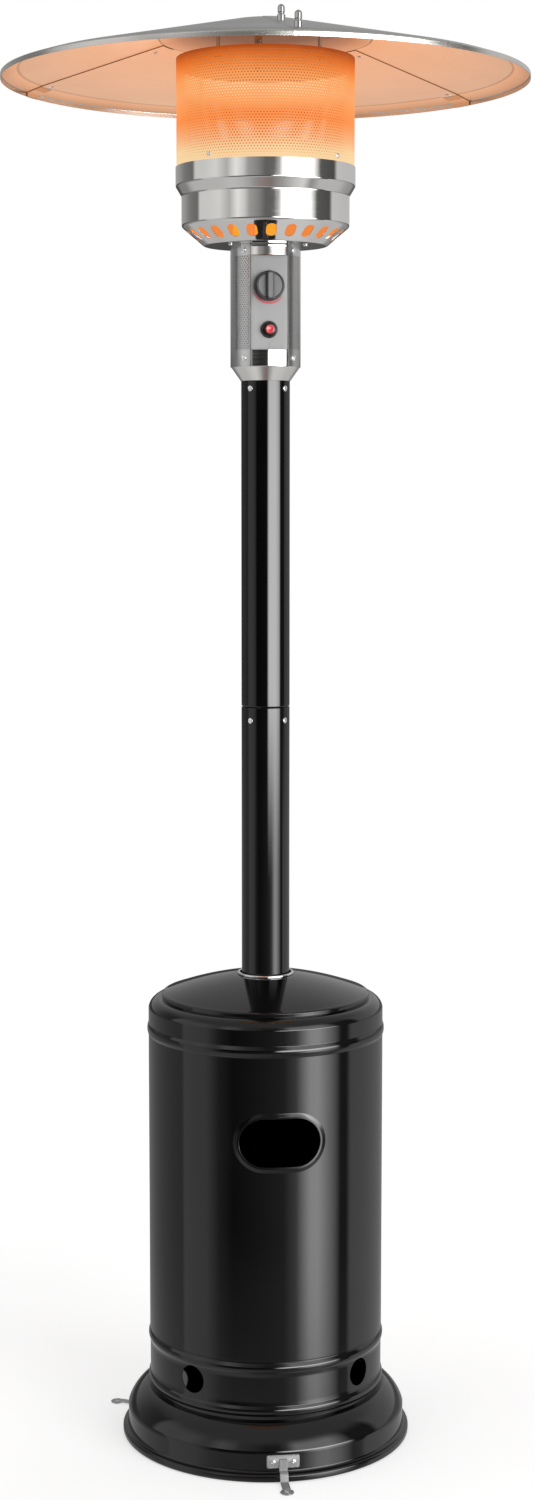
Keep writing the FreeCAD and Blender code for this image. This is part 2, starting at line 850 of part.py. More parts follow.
def risen(place, lead_radius, tip_radius, base):
    """A lead that rises from base through the burner, with a thicker tip."""
    x, y = service_places()[place]
    tip_base = burner_base + 4
    lead = rod(lead_radius, base, tip_base, x, y)
    return lead.fuse(rod(tip_radius, tip_base, tip_base + tip_length, x, y))


def spark_electrode():
    x, y = service_places()["spark"]
    lead = risen("spark", probe_lead_radius, ceramic_radius, igniter_z + 2)
    return lead.fuse(rod(probe_lead_radius, burner_base + tip_length, burner_base + tip_length + 14,
                         x, y))


# Emitter

def screen_screw_holes():
    return radial_rods(screen_screw_radius, screen_radius - 10, screen_radius + 5,
                       screen_screw_angles, cup_top + screen_screw_rise)


def screen_collar():
    outer = screen_radius - screen_wall
    base = cup_top + screen_screw_rise - screen_collar_height / 2
    collar = ring(outer - screen_collar_sheet, outer, base, base + screen_collar_height)
    return collar.cut(Part.makeCompound(screen_screw_holes()))


def emitter_screen():
    tube = ring(screen_radius - screen_wall, screen_radius, screen_base, screen_top)
    return tube.cut(Part.makeCompound(screen_screw_holes()))


def screen_screws():
    return screws(screen_head_radius, screen_head_height, screen_screw_radius, screen_radius, 6,
                  screen_screw_angles, cup_top + screen_screw_rise)


def stud_places():
    turns = [math.radians(angle) for angle in stud_angles]
    return [(stud_circle * math.sin(turn), -stud_circle * math.cos(turn)) for turn in turns]


def emitter_cap():
    outer = screen_radius - screen_wall
    line = [(outer, screen_top - cap_skirt), (outer, screen_top), (cap_centre_hole, screen_top)]
    holes = [rod(stud_radius, screen_top - 5, screen_top + 5, x, y) for x, y in stud_places()]
    return spun_sheet(line, cap_sheet).cut(Part.makeCompound(holes))


# Reflector

def reflector_line():
    return [(reflector_radius, rim_top - reflector_lip), (reflector_radius, rim_top),
            (brim_radius, brim_top), (crown_flat_radius, crown_top), (panel_hole_radius, crown_top)]


def height_on(line, radius):
    """The height of a line of points, listed from the outside in, at a radius."""
    for (a, b), (c, d) in zip(line, line[1:]):
        if a > c and c <= radius <= a:
            return d + (b - d) * (radius - c) / (a - c)
    return line[-1][1]


def crown_plate_line():
    under = moved_side(reflector_line(), reflector_sheet)
    edge = (crown_plate_radius, height_on(under[1:], crown_plate_radius))
    return [edge] + under[3:] + [(crown_centre_hole, under[-1][1])]


def crown_plate():
    return spun_sheet(crown_plate_line(), crown_plate_sheet)


def seam_region(angle, start_side, end_side, base, top):
    """A tall wedge from one seam to the next, each edge set sideways from its seam."""
    far = 3 * reflector_radius

    def place(turn, along, side):
        bearing = math.radians(turn)
        return (along * math.sin(bearing) + side * math.cos(bearing),
                side * math.sin(bearing) - along * math.cos(bearing))

    outline = [place(angle, 0, start_side), place(angle, far, start_side),
               place(angle + 60, 2 * far, 0), place(angle + 120, far, end_side),
               place(angle + 120, 0, end_side)]
    face = polygon_face(outline, lambda x, y: FreeCAD.Vector(x, y, base))
    return face.extrude(FreeCAD.Vector(0, 0, top - base))


def seam_bolt_radii():
    return {reflector_radius - seam_bolt_inner: inner_nut_height,
            reflector_radius - seam_bolt_outer: outer_nut_height}


def seam_bolt_holes():
    return [turned(rod(seam_bolt_radius + seam_bolt_clearance, rim_top - 50, crown_top + 50, 0,
                       -radius), angle) for radius in seam_bolt_radii() for angle in seam_angles]


def reflector_panel(angle):
    """One sector, and the strip along its first seam that laps under its neighbour."""
    low = rim_top - reflector_lip - 20
    high = crown_top + 20
    line = reflector_line()
    under = moved_side(line, reflector_sheet)
    region = seam_region(angle, lap_half_width, lap_half_width - panel_gap, low, high)
    sector = spun_sheet(line, reflector_sheet).common(region)
    inner = (crown_plate_radius + 1, height_on(under[1:], crown_plate_radius + 1))
    strip = spun_sheet(under[:3] + [inner], reflector_sheet)
    tail = block((-lap_half_width, lap_half_width + lap_tail), (-reflector_radius - 1, 0), (low, high))
    panel = joined([sector, strip.common(turned(tail, angle))])
    return panel.cut(Part.makeCompound(seam_bolt_holes()))


def seam_bolts():
    lapped = moved_side(reflector_line(), 2 * reflector_sheet)
    bolts = []
    for radius, nut_height in seam_bolt_radii().items():
        head_top = height_on(lapped[1:], radius + seam_head_radius)
        tip = height_on(reflector_line()[1:], radius) + nut_height / 2
        head = rod(seam_head_radius, head_top - seam_head_height, head_top, 0, -radius)
        bolt = head.fuse(rod(seam_bolt_radius, head_top, tip, 0, -radius))
        bolts += [turned(bolt, angle) for angle in seam_angles]
    return bolts


def cap_nuts():
    nuts = []
    for radius, height in seam_bolt_radii().items():
        base = height_on(reflector_line()[1:], radius - nut_radius)
        neck_base = base + height - nut_neck_height - nut_neck_radius
        body = rod(nut_radius, base, neck_base, 0, -radius)
        neck = rod(nut_neck_radius, neck_base, neck_base + nut_neck_height, 0, -radius)
        dome = Part.makeSphere(nut_neck_radius,
                               FreeCAD.Vector(0, -radius, neck_base + nut_neck_height))
        tip = height_on(reflector_line()[1:], radius) + height / 2
        bore = rod(seam_bolt_radius, base - 1, tip, 0, -radius)
        nut = joined([body, neck, dome]).cut(bore)
        nuts += [turned(nut, angle) for angle in seam_angles]
    return nuts


def stud_top():
    under = moved_side(crown_plate_line(), crown_plate_sheet)
    return height_on(under, stud_circle + stud_nut_radius)


def reflector_studs():
    return [rod(stud_radius, screen_top - cap_sheet - stud_tail, stud_top(), x, y)
            for x, y in stud_places()]


def stud_nuts():
    bases = (screen_top - cap_sheet - stud_nut_height, screen_top, stud_top() - stud_nut_height)
    return [rod(stud_nut_radius, base, base + stud_nut_height, x, y).cut(
            rod(stud_radius, base - 1, base + stud_nut_height + 1, x, y))
            for x, y in stud_places() for base in bases]


def save_base():
    save("base_pan", base_pan())
    save("vent_ring", vent_ring())
    save("anchor_screws", anchor_screws())
    for name, angle in anchor_angles.items():
        save("anchor_bracket_" + name, anchor_bracket(angle))
    for name, angle in leg_angles.items():
        save("support_leg_" + name, support_leg(angle))
    save("leg_bolts", leg_bolts())
    save("post_bracket", post_bracket())


def save_cover():
    save("cover_shell", cover_shell())
    save("hand_hole_rim_front", hand_hole_rim(0))
    save("hand_hole_rim_back", hand_hole_rim(180))
    save("cover_dome", cover_dome())
    save("cover_ring", cover_ring())


def save_post():
    save("bracket_bolts", post_screws(bracket_top + bracket_bolt_height))
    save("lower_post", lower_post())
    save("upper_post", upper_post())
    save("post_joint_screws", post_screws(lower_post_top - joint_screw_drop))
    save("post_top_screws", post_screws(post_top - top_screw_drop))
    save("gas_pipe", gas_pipe())
    save("gas_inlet", gas_inlet())


def save_head():
    save("head_cone", head_cone())
    save("head_neck", head_neck())
    save("control_panel", control_panel())
    save("housing_guard_left", housing_guard("left"))
    save("housing_guard_right", housing_guard("right"))
    save("guard_screws", guard_screws())
    save("valve_body", valve_body())
    save("valve_spindle", valve_spindle())
    save("spindle_collar", spindle_collar())
    save("spindle_spring", spring_at(-valve_front - spring_length, knob_z, spring_radius,
                                     spring_length))
    save("control_knob", control_knob())
    save("igniter_body", igniter_body())
    save("igniter_button", igniter_button())
    save("igniter_spring", igniter_spring())
    save("tilt_switch", tilt_switch())


def save_burner():
    save("burner_cup", burner_cup())
    save("cup_screws", cup_screws())
    save("gas_jet", gas_jet())
    save("venturi_tube", venturi_tube())
    save("burner_bracket", burner_bracket())
    save("burner_head", burner_head())
    save("pilot_burner", risen("pilot", pilot_tube_radius, pilot_tip_radius, valve_top))
    save("thermocouple", risen("probe", probe_lead_radius, probe_tip_radius, valve_top))
    save("spark_electrode", spark_electrode())


def save_emitter():
    save("screen_collar", screen_collar())
    save("emitter_screen", emitter_screen())
    save("screen_screws", screen_screws())
    save("emitter_cap", emitter_cap())


def save_reflector():
    save("reflector_studs", reflector_studs())
    save("stud_nuts", stud_nuts())
    save("crown_plate", crown_plate())
    for number, angle in enumerate(seam_angles):
        save("reflector_panel_" + str(number + 1), reflector_panel(angle))
    save("seam_bolts", seam_bolts())
    save("cap_nuts", cap_nuts())


os.makedirs("parts", exist_ok=True)
save_base()
save_cover()
save_post()
save_head()
save_burner()
save_emitter()
save_reflector()
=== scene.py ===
import bmesh
import bpy
import math
import numpy as np
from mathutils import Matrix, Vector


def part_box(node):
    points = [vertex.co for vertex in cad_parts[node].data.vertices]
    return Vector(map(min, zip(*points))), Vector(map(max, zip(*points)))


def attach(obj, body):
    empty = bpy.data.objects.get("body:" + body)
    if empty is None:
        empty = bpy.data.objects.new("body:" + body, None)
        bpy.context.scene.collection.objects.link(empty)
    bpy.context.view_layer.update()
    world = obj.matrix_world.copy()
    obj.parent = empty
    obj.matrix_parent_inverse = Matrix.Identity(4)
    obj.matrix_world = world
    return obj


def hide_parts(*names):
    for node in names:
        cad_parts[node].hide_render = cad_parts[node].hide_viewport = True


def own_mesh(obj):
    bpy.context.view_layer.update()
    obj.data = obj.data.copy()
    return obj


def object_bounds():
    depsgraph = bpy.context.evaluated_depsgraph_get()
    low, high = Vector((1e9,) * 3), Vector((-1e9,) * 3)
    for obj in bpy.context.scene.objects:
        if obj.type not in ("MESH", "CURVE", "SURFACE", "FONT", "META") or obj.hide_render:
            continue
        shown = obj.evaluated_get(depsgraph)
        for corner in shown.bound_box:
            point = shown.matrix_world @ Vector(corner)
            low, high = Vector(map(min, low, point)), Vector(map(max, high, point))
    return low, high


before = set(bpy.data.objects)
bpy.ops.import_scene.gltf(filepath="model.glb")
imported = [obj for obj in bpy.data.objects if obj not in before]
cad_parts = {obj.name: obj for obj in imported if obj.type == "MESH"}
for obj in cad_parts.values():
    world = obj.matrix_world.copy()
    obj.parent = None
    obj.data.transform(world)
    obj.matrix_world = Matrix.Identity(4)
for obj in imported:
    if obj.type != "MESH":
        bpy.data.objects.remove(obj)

# Patio heater, metres, +Z up, front at -Y. Angles are degrees round the post,
# 0 at the front and positive towards +X.

cadBox = [list(corner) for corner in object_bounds()]
bpy.context.scene.view_settings.view_transform = "Standard"
print("frame loaded with", len(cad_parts), "nodes")

# Keeps two faces that touch from lying in one plane
hair = 0.0001


# Corner (i, j) of a grid has index i * nb + j, and each cell becomes one quad
def gridFaces(na, nb, wrapA=False, wrapB=False):
    i, j = np.meshgrid(np.arange(na if wrapA else na - 1), np.arange(nb if wrapB else nb - 1), indexing="ij")
    i, j = i.ravel(), j.ravel()
    nextI, nextJ = (i + 1) % na, (j + 1) % nb
    return np.stack([i * nb + j, nextI * nb + j, nextI * nb + nextJ, i * nb + nextJ], axis=1)


# A place round the post: (r sin a, -r cos a, z)
def aroundPost(angle, radius, height):
    angle, radius, height = np.broadcast_arrays(angle, radius, height)
    return np.stack([radius * np.sin(angle), -radius * np.cos(angle), height], axis=-1)


# A profile of (radius, height) carried round the axis
def spin(profile, turns=96, closed=True):
    profile = np.asarray(profile, float)
    angle = 2 * math.pi * np.arange(turns) / turns
    points = aroundPost(angle[:, None], profile[None, :, 0], profile[None, :, 1])
    return points.reshape(-1, 3), gridFaces(turns, len(profile), True, closed)


# Each corner of an outline becomes an arc that touches both of its sides
def rounded(points, radius, steps=4, closed=False):
    points = np.asarray(points, float)
    count = len(points)
    done = []
    for k, here in enumerate(points):
        back, ahead = points[k - 1] - here, points[(k + 1) % count] - here
        backLength, aheadLength = np.linalg.norm(back), np.linalg.norm(ahead)
        back, ahead = back / backLength, ahead / aheadLength
        half = math.acos(np.clip(back @ ahead, -1, 1)) / 2
        atEnd = not closed and k in (0, count - 1)
        if atEnd or half > 1.55:
            done.append(here[None])
            continue
        reach = min(radius / math.tan(half), 0.45 * backLength, 0.45 * aheadLength)
        middle = (back + ahead) / np.linalg.norm(back + ahead)
        centre = here + middle * reach / math.cos(half)
        first, last = here + back * reach - centre, here + ahead * reach - centre
        start = math.atan2(first[1], first[0])
        sweep = (math.atan2(last[1], last[0]) - start + math.pi) % (2 * math.pi) - math.pi
        turn = start + sweep * np.linspace(0, 1, steps + 1)
        done.append(centre + np.linalg.norm(first) * np.stack([np.cos(turn), np.sin(turn)], axis=1))
    return np.vstack(done)


# A line moved to its left by gap, with mitred corners
def moved(line, gap):
    line = np.asarray(line, float)
    run = np.diff(line, axis=0)
    side = np.stack([-run[:, 1], run[:, 0]], axis=1) / np.linalg.norm(run, axis=1)[:, None]
    before, after = np.vstack([side[:1], side]), np.vstack([side, side[-1:]])
    return line + gap * (before + after) / (1 + (before * after).sum(axis=1))[:, None]


# The closed outline of a sheet whose outer side is the line, listed from the bottom up
def sheetLoop(line, sheet):
    return np.vstack([line, moved(line, sheet)[::-1]])


# The arc from start to end that stands off its chord by rise, on the right
def bowed(start, end, rise, steps=10):
    start, end = np.array(start, float), np.array(end, float)
    half = np.linalg.norm(end - start) / 2
    radius = (half ** 2 + rise ** 2) / (2 * rise)
    along = (end - start) / (2 * half)
    right = np.array([along[1], -along[0]])
    turn = math.asin(half / radius) * np.linspace(-1, 1, steps + 1)
    shift, stand = radius * np.sin(turn), radius * np.cos(turn) - radius + rise
    return (start + end) / 2 + shift[:, None] * along + stand[:, None] * right


# A sheet between two faces: the inner one is reversed, and each open edge gets a quad
def thicken(outer, inner, faces):
    count = len(outer)
    edges = np.concatenate([faces[:, [k, (k + 1) % 4]] for k in range(4)])
    forward, backward = edges @ (count, 1), edges @ (1, count)
    openEdges = edges[~np.isin(forward, backward)]
    a, b = openEdges[:, 0], openEdges[:, 1]
    rim = np.stack([b, a, a + count, b + count], axis=1)
    return np.vstack([outer, inner]), np.vstack([faces, faces[:, ::-1] + count, rim])


# Rings of corners joined one to the next, closed over at both ends
def stackRings(rings):
    rings = np.asarray(rings, float)
    ends = [np.repeat(rings[k].mean(axis=0)[None], rings.shape[1], axis=0)[None] for k in (0, -1)]
    rings = np.concatenate([ends[0], rings, ends[1]])
    return rings.reshape(-1, 3), gridFaces(rings.shape[0], rings.shape[1], False, True)


# A rounded rectangle drawn smaller by each inset, as rings of (x, y)
def insetRings(width, height, corner, insets, steps=6):
    turn = (np.arange(4)[:, None] * 90 + np.linspace(0, 90, steps + 1)[None]).ravel()
    turn = np.radians(turn)[None]
    xSign = np.repeat([1, -1, -1, 1], steps + 1)[None]
    ySign = np.repeat([1, 1, -1, -1], steps + 1)[None]
    inset = np.asarray(insets, float)[:, None]
    radius = np.maximum(corner - inset, 0)
    x = xSign * np.maximum(width / 2 - np.maximum(corner, inset), 0) + radius * np.cos(turn)
    y = ySign * np.maximum(height / 2 - np.maximum(corner, inset), 0) + radius * np.sin(turn)
    return np.stack([x, y], axis=-1)


# A shape's own (x, y, z) laid along across, up and out from origin
def placed(part, origin, across, up, out):
    points = np.asarray(origin) + part[0] @ np.array([across, up, out], float)
    return (points, *part[1:])


# A shape that faces out of the post's axis at an angle, radius and height
def onWall(part, angle, radius, height):
    turn = math.radians(angle)
    out = (math.sin(turn), -math.cos(turn), 0)
    origin = (radius * out[0], radius * out[1], height)
    return placed(part, origin, (math.cos(turn), math.sin(turn), 0), (0, 0, 1), out)


# How far a long round-ended hole reaches in each direction: along its straight
# sides radius / |sin|, and on its ends half |cos| + sqrt(radius^2 - half^2 sin^2)
def longHoleReach(turn, half, radius, upright=False):
    along, across = np.abs(np.cos(turn)), np.abs(np.sin(turn))
    if upright:
        along, across = across, along
    side = radius / np.maximum(across, 1e-9)
    end = half * along + np.sqrt(np.maximum(radius ** 2 - (half * across) ** 2, 0))
    return np.where(side * along <= half, side, end)


# A spun wall with holes. Its grid of (angle, distance up the profile) leaves out a
# rectangle round each hole, and rings of corners lead from there to the hole's edge
def holedWall(line, sheet, hole, reachAt):
    line = np.asarray(line, float)
    inside = moved(line, sheet)
    distance = np.concatenate([[0], np.cumsum(np.linalg.norm(np.diff(line, axis=0), axis=1))])
    low, high = hole["middle"] - hole["tall"], hole["middle"] + hole["tall"]
    below, above = distance[distance < low - 1e-6], distance[distance > high + 1e-6]
    rows = np.concatenate([below, np.linspace(low, high, hole["rows"] + 1), above])
    middleRadius = np.interp(hole["middle"], distance, line[:, 0])
    half = math.pi / len(hole["angles"])
    if hole["between"]:
        half = math.asin(hole["wide"] / middleRadius)
    centres = np.radians(hole["angles"])
    window = np.linspace(-half, half, hole["cells"] + 1)
    gaps = np.linspace(half, 2 * math.pi / len(centres) - half, hole["between"] + 1)[:hole["between"]]
    block = np.concatenate([window[:-1], gaps])
    angles = (centres[:, None] + block[None]).ravel()
    across, up = len(angles), len(rows)
    i, j = np.divmod(np.arange(across * (up - 1)), up - 1)
    inRow = (j >= len(below)) & (j < len(below) + hole["rows"])
    faces = [gridFaces(across, up, True)[~((i % len(block) < hole["cells"]) & inRow)]]
    cells, tall = np.arange(hole["cells"] + 1), np.arange(hole["rows"] + 1)
    edgeI = np.concatenate([cells[:-1], np.full(len(tall) - 1, cells[-1]), cells[:0:-1],
                            np.zeros(len(tall) - 1, int)])
    edgeJ = np.concatenate([np.zeros(len(cells) - 1, int), tall[:-1], np.full(len(cells) - 1, tall[-1]),
                            tall[:0:-1]])
    height = rows[len(below) + edgeJ]
    x = np.interp(height, distance, line[:, 0]) * np.sin(window[edgeI])
    y = height - hole["middle"]
    turn = np.arctan2(y, x)
    reach = reachAt(turn)
    allAngles = [np.repeat(angles, up)]
    allRows = [np.tile(rows, across)]
    count = across * up
    for k, centre in enumerate(centres):
        last = ((k * len(block) + edgeI) % across) * up + len(below) + edgeJ
        for share in np.linspace(0, 1, hole["rings"] + 1)[1:]:
            ringX = x * (1 - share) + reach * np.cos(turn) * share
            ringRow = hole["middle"] + y * (1 - share) + reach * np.sin(turn) * share
            allAngles.append(centre + np.arcsin(ringX / np.interp(ringRow, distance, line[:, 0])))
            allRows.append(ringRow)
            here = count + np.arange(len(edgeI))
            faces.append(np.stack([last, np.roll(last, -1), np.roll(here, -1), here], axis=1))
            last, count = here, count + len(edgeI)
    allAngles, allRows = np.concatenate(allAngles), np.concatenate(allRows)
    skins = [aroundPost(allAngles, np.interp(allRows, distance, side[:, 0]),
                        np.interp(allRows, distance, side[:, 1]))
             for side in (line, inside)]
    return thicken(*skins, np.vstack(faces))


# Perforated sheet on a cylinder: every hole is a hexagon in a six-sided cell whose
# corners it shares with its neighbours, in rows set over by half a pitch
def perforated(radius, sheet, startAngle, columns, pitch, lowRow, rows, rowStep, holeRadius):
    column, row = np.meshgrid(np.arange(columns), np.arange(rows), indexing="ij")
    column, row = column.ravel(), row.ravel()
    cornerU = np.array([0, -1, -1, 0, 1, 1])
    cornerV = np.array([2, 1, -1, -2, -1, 1])
    u = (2 * column + row % 2)[:, None] + cornerU
    v = (3 * row)[:, None] + cornerV
    keys, shared = np.unique(np.stack([u.ravel(), v.ravel()], axis=1), axis=0, return_inverse=True)
    corner = shared.reshape(-1, 6)
    turn = np.radians(90 + 60 * np.arange(6))
    holeX = (column + (row % 2) / 2)[:, None] * pitch + holeRadius * np.cos(turn)
    holeY = row[:, None] * rowStep + holeRadius * np.sin(turn)
    hole = len(keys) + np.arange(len(column) * 6).reshape(-1, 6)
    x = np.concatenate([keys[:, 0] * pitch / 2, holeX.ravel()])
    y = np.concatenate([keys[:, 1] * rowStep / 3, holeY.ravel()])
    nextCorner, nextHole = np.roll(corner, -1, axis=1), np.roll(hole, -1, axis=1)
    faces = np.stack([corner, nextCorner, nextHole, hole], axis=-1).reshape(-1, 4)
    angle = startAngle + x / radius
    outer = aroundPost(angle, radius, lowRow + y)
    inner = aroundPost(angle, radius - sheet, lowRow + y)
    return (*thicken(outer, inner, faces), len(faces))


# Six times a closed shape's volume is the sum of its faces' corners' triple products;
# when it is negative, the faces look inwards and are reversed
def facingOut(points, faces):
    p = points - points.mean(axis=0)
    volume = np.einsum("ij,ij->", p[faces[:, 0]], np.cross(p[faces[:, 1]], p[faces[:, 2]]))
    volume += np.einsum("ij,ij->", p[faces[:, 0]], np.cross(p[faces[:, 2]], p[faces[:, 3]]))
    return faces if volume >= 0 else faces[:, ::-1]


# Parts are (points, faces) or (points, faces, material number for each face)
def makePiece(name, parts, materials, body, stands=(), sharp=32):
    points = np.vstack([part[0] for part in parts])
    starts = np.cumsum([0] + [len(part[0]) for part in parts])
    faces = np.vstack([facingOut(part[0], part[1]) + start for part, start in zip(parts, starts)])
    numbers = [np.broadcast_to(part[2] if len(part) > 2 else 0, len(part[1])) for part in parts]
    mesh = bpy.data.meshes.new(name)
    mesh.from_pydata(points.tolist(), [], faces.tolist())
    for material in materials:
        mesh.materials.append(material)
    mesh.polygons.foreach_set("material_index", np.concatenate(numbers).astype(np.int32))
    work = bmesh.new()
    work.from_mesh(mesh)
    bmesh.ops.remove_doubles(work, verts=work.verts, dist=2e-7)
    bmesh.ops.dissolve_degenerate(work, edges=work.edges, dist=1e-7)
    work.to_mesh(mesh)
    work.free()
    mesh.shade_smooth()
    mesh.set_sharp_from_angle(angle=math.radians(sharp))
    piece = bpy.data.objects.new(name, mesh)
    bpy.context.scene.collection.objects.link(piece)
    evenShading = piece.modifiers.new("evenShading", "WEIGHTED_NORMAL")
    evenShading.keep_sharp = True
    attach(piece, body)
    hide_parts(*([stands] if isinstance(stands, str) else stands))
    return piece


def addNode(tree, kind, inputs=None, **options):
    node = tree.nodes.new(kind)
    for key, value in options.items():
        setattr(node, key, value)
    for key, value in (inputs or {}).items():
        if isinstance(value, bpy.types.NodeSocket):
            tree.links.new(value, node.inputs[key])
        else:
            node.inputs[key].default_value = value
    return node


def startGroup(name, inputs, output):
    group = bpy.data.node_groups.new(name, "ShaderNodeTree")
    for title, kind, value in inputs:
        socket = group.interface.new_socket(title, in_out="INPUT", socket_type=kind)
        if value is not None:
            socket.default_value = value
    group.interface.new_socket(output, in_out="OUTPUT", socket_type="NodeSocketFloat")
    return group, group.nodes.new("NodeGroupInput").outputs, group.nodes.new("NodeGroupOutput").inputs


def useGroup(tree, group, inputs):
    node = addNode(tree, "ShaderNodeGroup", node_tree=group)
    for key, value in inputs.items():
        if isinstance(value, bpy.types.NodeSocket):
            tree.links.new(value, node.inputs[key])
        else:
            node.inputs[key].default_value = value
    return node.outputs[0]


# Slow blotches between two values
def buildToneDrift():
    group, given, result = startGroup("toneDrift", [
        ("Vector", "NodeSocketVector", None), ("Scale", "NodeSocketFloat", 6.0),
        ("Low", "NodeSocketFloat", 0.0), ("High", "NodeSocketFloat", 1.0)], "Value")
    noise = addNode(group, "ShaderNodeTexNoise", {
        "Vector": given["Vector"], "Scale": given["Scale"], "Detail": 4.0, "Roughness": 0.55})
    spread = addNode(group, "ShaderNodeMapRange", {
        "Value": noise.outputs[0], "From Min": 0.32, "From Max": 0.68,
        "To Min": given["Low"], "To Max": given["High"]})
    group.links.new(spread.outputs[0], result["Value"])
    return group


# Fine lines along a direction that the vector has been squeezed across
def buildBrushLines():
    group, given, result = startGroup("brushLines", [
        ("Vector", "NodeSocketVector", None), ("Density", "NodeSocketFloat", 40.0),
        ("Depth", "NodeSocketFloat", 1.0)], "Height")
    fine = addNode(group, "ShaderNodeTexNoise", {
        "Vector": given["Vector"], "Scale": given["Density"], "Detail": 6.0, "Roughness": 0.7})
    slow = addNode(group, "ShaderNodeTexNoise", {
        "Vector": given["Vector"], "Scale": 7.0, "Detail": 2.0, "Roughness": 0.5})
    mixed = addNode(group, "ShaderNodeMath", {0: fine.outputs[0], 1: slow.outputs[0]}, operation="MULTIPLY")
    depth = addNode(group, "ShaderNodeMath", {0: mixed.outputs[0], 1: given["Depth"]}, operation="MULTIPLY")
    group.links.new(depth.outputs[0], result["Height"])
    return group


# The slight waviness of sprayed and baked paint
def buildOrangePeel():
    group, given, result = startGroup("orangePeel", [
        ("Vector", "NodeSocketVector", None), ("Scale", "NodeSocketFloat", 260.0)], "Height")
    cells = addNode(group, "ShaderNodeTexVoronoi", {
        "Vector": given["Vector"], "Scale": given["Scale"], "Smoothness": 1.0}, feature="SMOOTH_F1")
    swell = addNode(group, "ShaderNodeTexNoise", {"Vector": given["Vector"], "Scale": 70.0, "Detail": 2.0})
    both = addNode(group, "ShaderNodeMath", {0: cells.outputs[0], 1: swell.outputs[0]}, operation="ADD")
    group.links.new(both.outputs[0], result["Height"])
    return group


# Sparse handling marks: only the peaks of a stretched noise are kept
def buildScuffs():
    group, given, result = startGroup("scuffs", [
        ("Vector", "NodeSocketVector", None), ("Scale", "NodeSocketFloat", 30.0),
        ("Amount", "NodeSocketFloat", 0.2)], "Mask")
    noise = addNode(group, "ShaderNodeTexNoise", {
        "Vector": given["Vector"], "Scale": given["Scale"], "Detail": 8.0, "Roughness": 0.75,
        "Distortion": 1.2})
    peaks = addNode(group, "ShaderNodeMapRange", {
        "Value": noise.outputs[0], "From Min": 0.6, "From Max": 0.75, "To Max": given["Amount"]})
    group.links.new(peaks.outputs[0], result["Mask"])
    return group


toneDrift, brushLines = buildToneDrift(), buildBrushLines()
orangePeel, scuffs = buildOrangePeel(), buildScuffs()


def startMaterial(name, settings):
    material = bpy.data.materials.new(name)
    material.use_nodes = True
    shader = material.node_tree.nodes["Principled BSDF"]
    for key, value in settings.items():
        shader.inputs[key].default_value = value
    return material, material.node_tree, shader


def objectPlace(tree, scale=(1, 1, 1)):
    place = addNode(tree, "ShaderNodeTexCoord").outputs["Object"]
    return addNode(tree, "ShaderNodeMapping", {"Vector": place, "Scale": scale}).outputs[0]


def mixTints(tree, share, first, second):
    mix = addNode(tree, "ShaderNodeMix", data_type="RGBA")
    tree.links.new(share, mix.inputs["Factor"])
    mix.inputs["A"].default_value = (*first, 1)
    mix.inputs["B"].default_value = (*second, 1)
    return [out for out in mix.outputs if out.type == "RGBA"][0]


def fillRamp(ramp, stops):
    while len(ramp.elements) > 1:
        ramp.elements.remove(ramp.elements[-1])
    ramp.elements[0].position = stops[0][0]
    for place, _ in stops[1:]:
        ramp.elements.new(place)
    for element, (_, tint) in zip(ramp.elements, stops):
        element.color = (*tint, 1) if hasattr(tint, "__len__") else (tint, tint, tint, 1)


def addBump(tree, shader, height, strength, distance):
    bump = addNode(tree, "ShaderNodeBump", {"Height": height, "Strength": strength, "Distance": distance})
    tree.links.new(bump.outputs[0], shader.inputs["Normal"])


# Screen colours given as 0 to 255 become the shader's linear values
def tint(red, green, blue):
    share = np.array([red, green, blue]) / 255
    return tuple(float(v) for v in np.where(share <= 0.04045, share / 12.92,
                                            ((share + 0.055) / 1.055) ** 2.4))


# Bare metal: blotched tint and roughness, brush lines in the bump, a few scuffs
def metalFinish(name, dark, light, rough, stretch=(3, 3, 90), depth=0.3, marks=0.08, settings=None):
    material, tree, shader = startMaterial(name, {"Metallic": 1.0, **(settings or {})})
    even, lined = objectPlace(tree), objectPlace(tree, stretch)
    share = useGroup(tree, toneDrift, {"Vector": even, "Scale": 9.0})
    tree.links.new(mixTints(tree, share, dark, light), shader.inputs["Base Color"])
    blotch = useGroup(tree, toneDrift, {"Vector": lined, "Scale": 5.0, "Low": rough[0], "High": rough[1]})
    worn = useGroup(tree, scuffs, {"Vector": even, "Scale": 60.0, "Amount": marks})
    total = addNode(tree, "ShaderNodeMath", {0: blotch, 1: worn}, operation="ADD")
    tree.links.new(total.outputs[0], shader.inputs["Roughness"])
    lines = useGroup(tree, brushLines, {"Vector": lined, "Depth": depth})
    addBump(tree, shader, lines, 0.12, 0.0004)
    return material


# Paint and plastic: blotched tint and roughness over an uneven skin
def paintFinish(name, dark, light, rough, peel=260.0, strength=0.05, marks=0.06, settings=None):
    material, tree, shader = startMaterial(name, settings or {})
    even = objectPlace(tree)
    share = useGroup(tree, toneDrift, {"Vector": even, "Scale": 7.0})
    tree.links.new(mixTints(tree, share, dark, light), shader.inputs["Base Color"])
    blotch = useGroup(tree, toneDrift, {"Vector": even, "Scale": 11.0, "Low": rough[0], "High": rough[1]})
    worn = useGroup(tree, scuffs, {"Vector": even, "Scale": 45.0, "Amount": marks})
    total = addNode(tree, "ShaderNodeMath", {0: blotch, 1: worn}, operation="ADD")
    tree.links.new(total.outputs[0], shader.inputs["Roughness"])
    addBump(tree, shader, useGroup(tree, orangePeel, {"Vector": even, "Scale": peel}), strength, 0.0003)
    return material


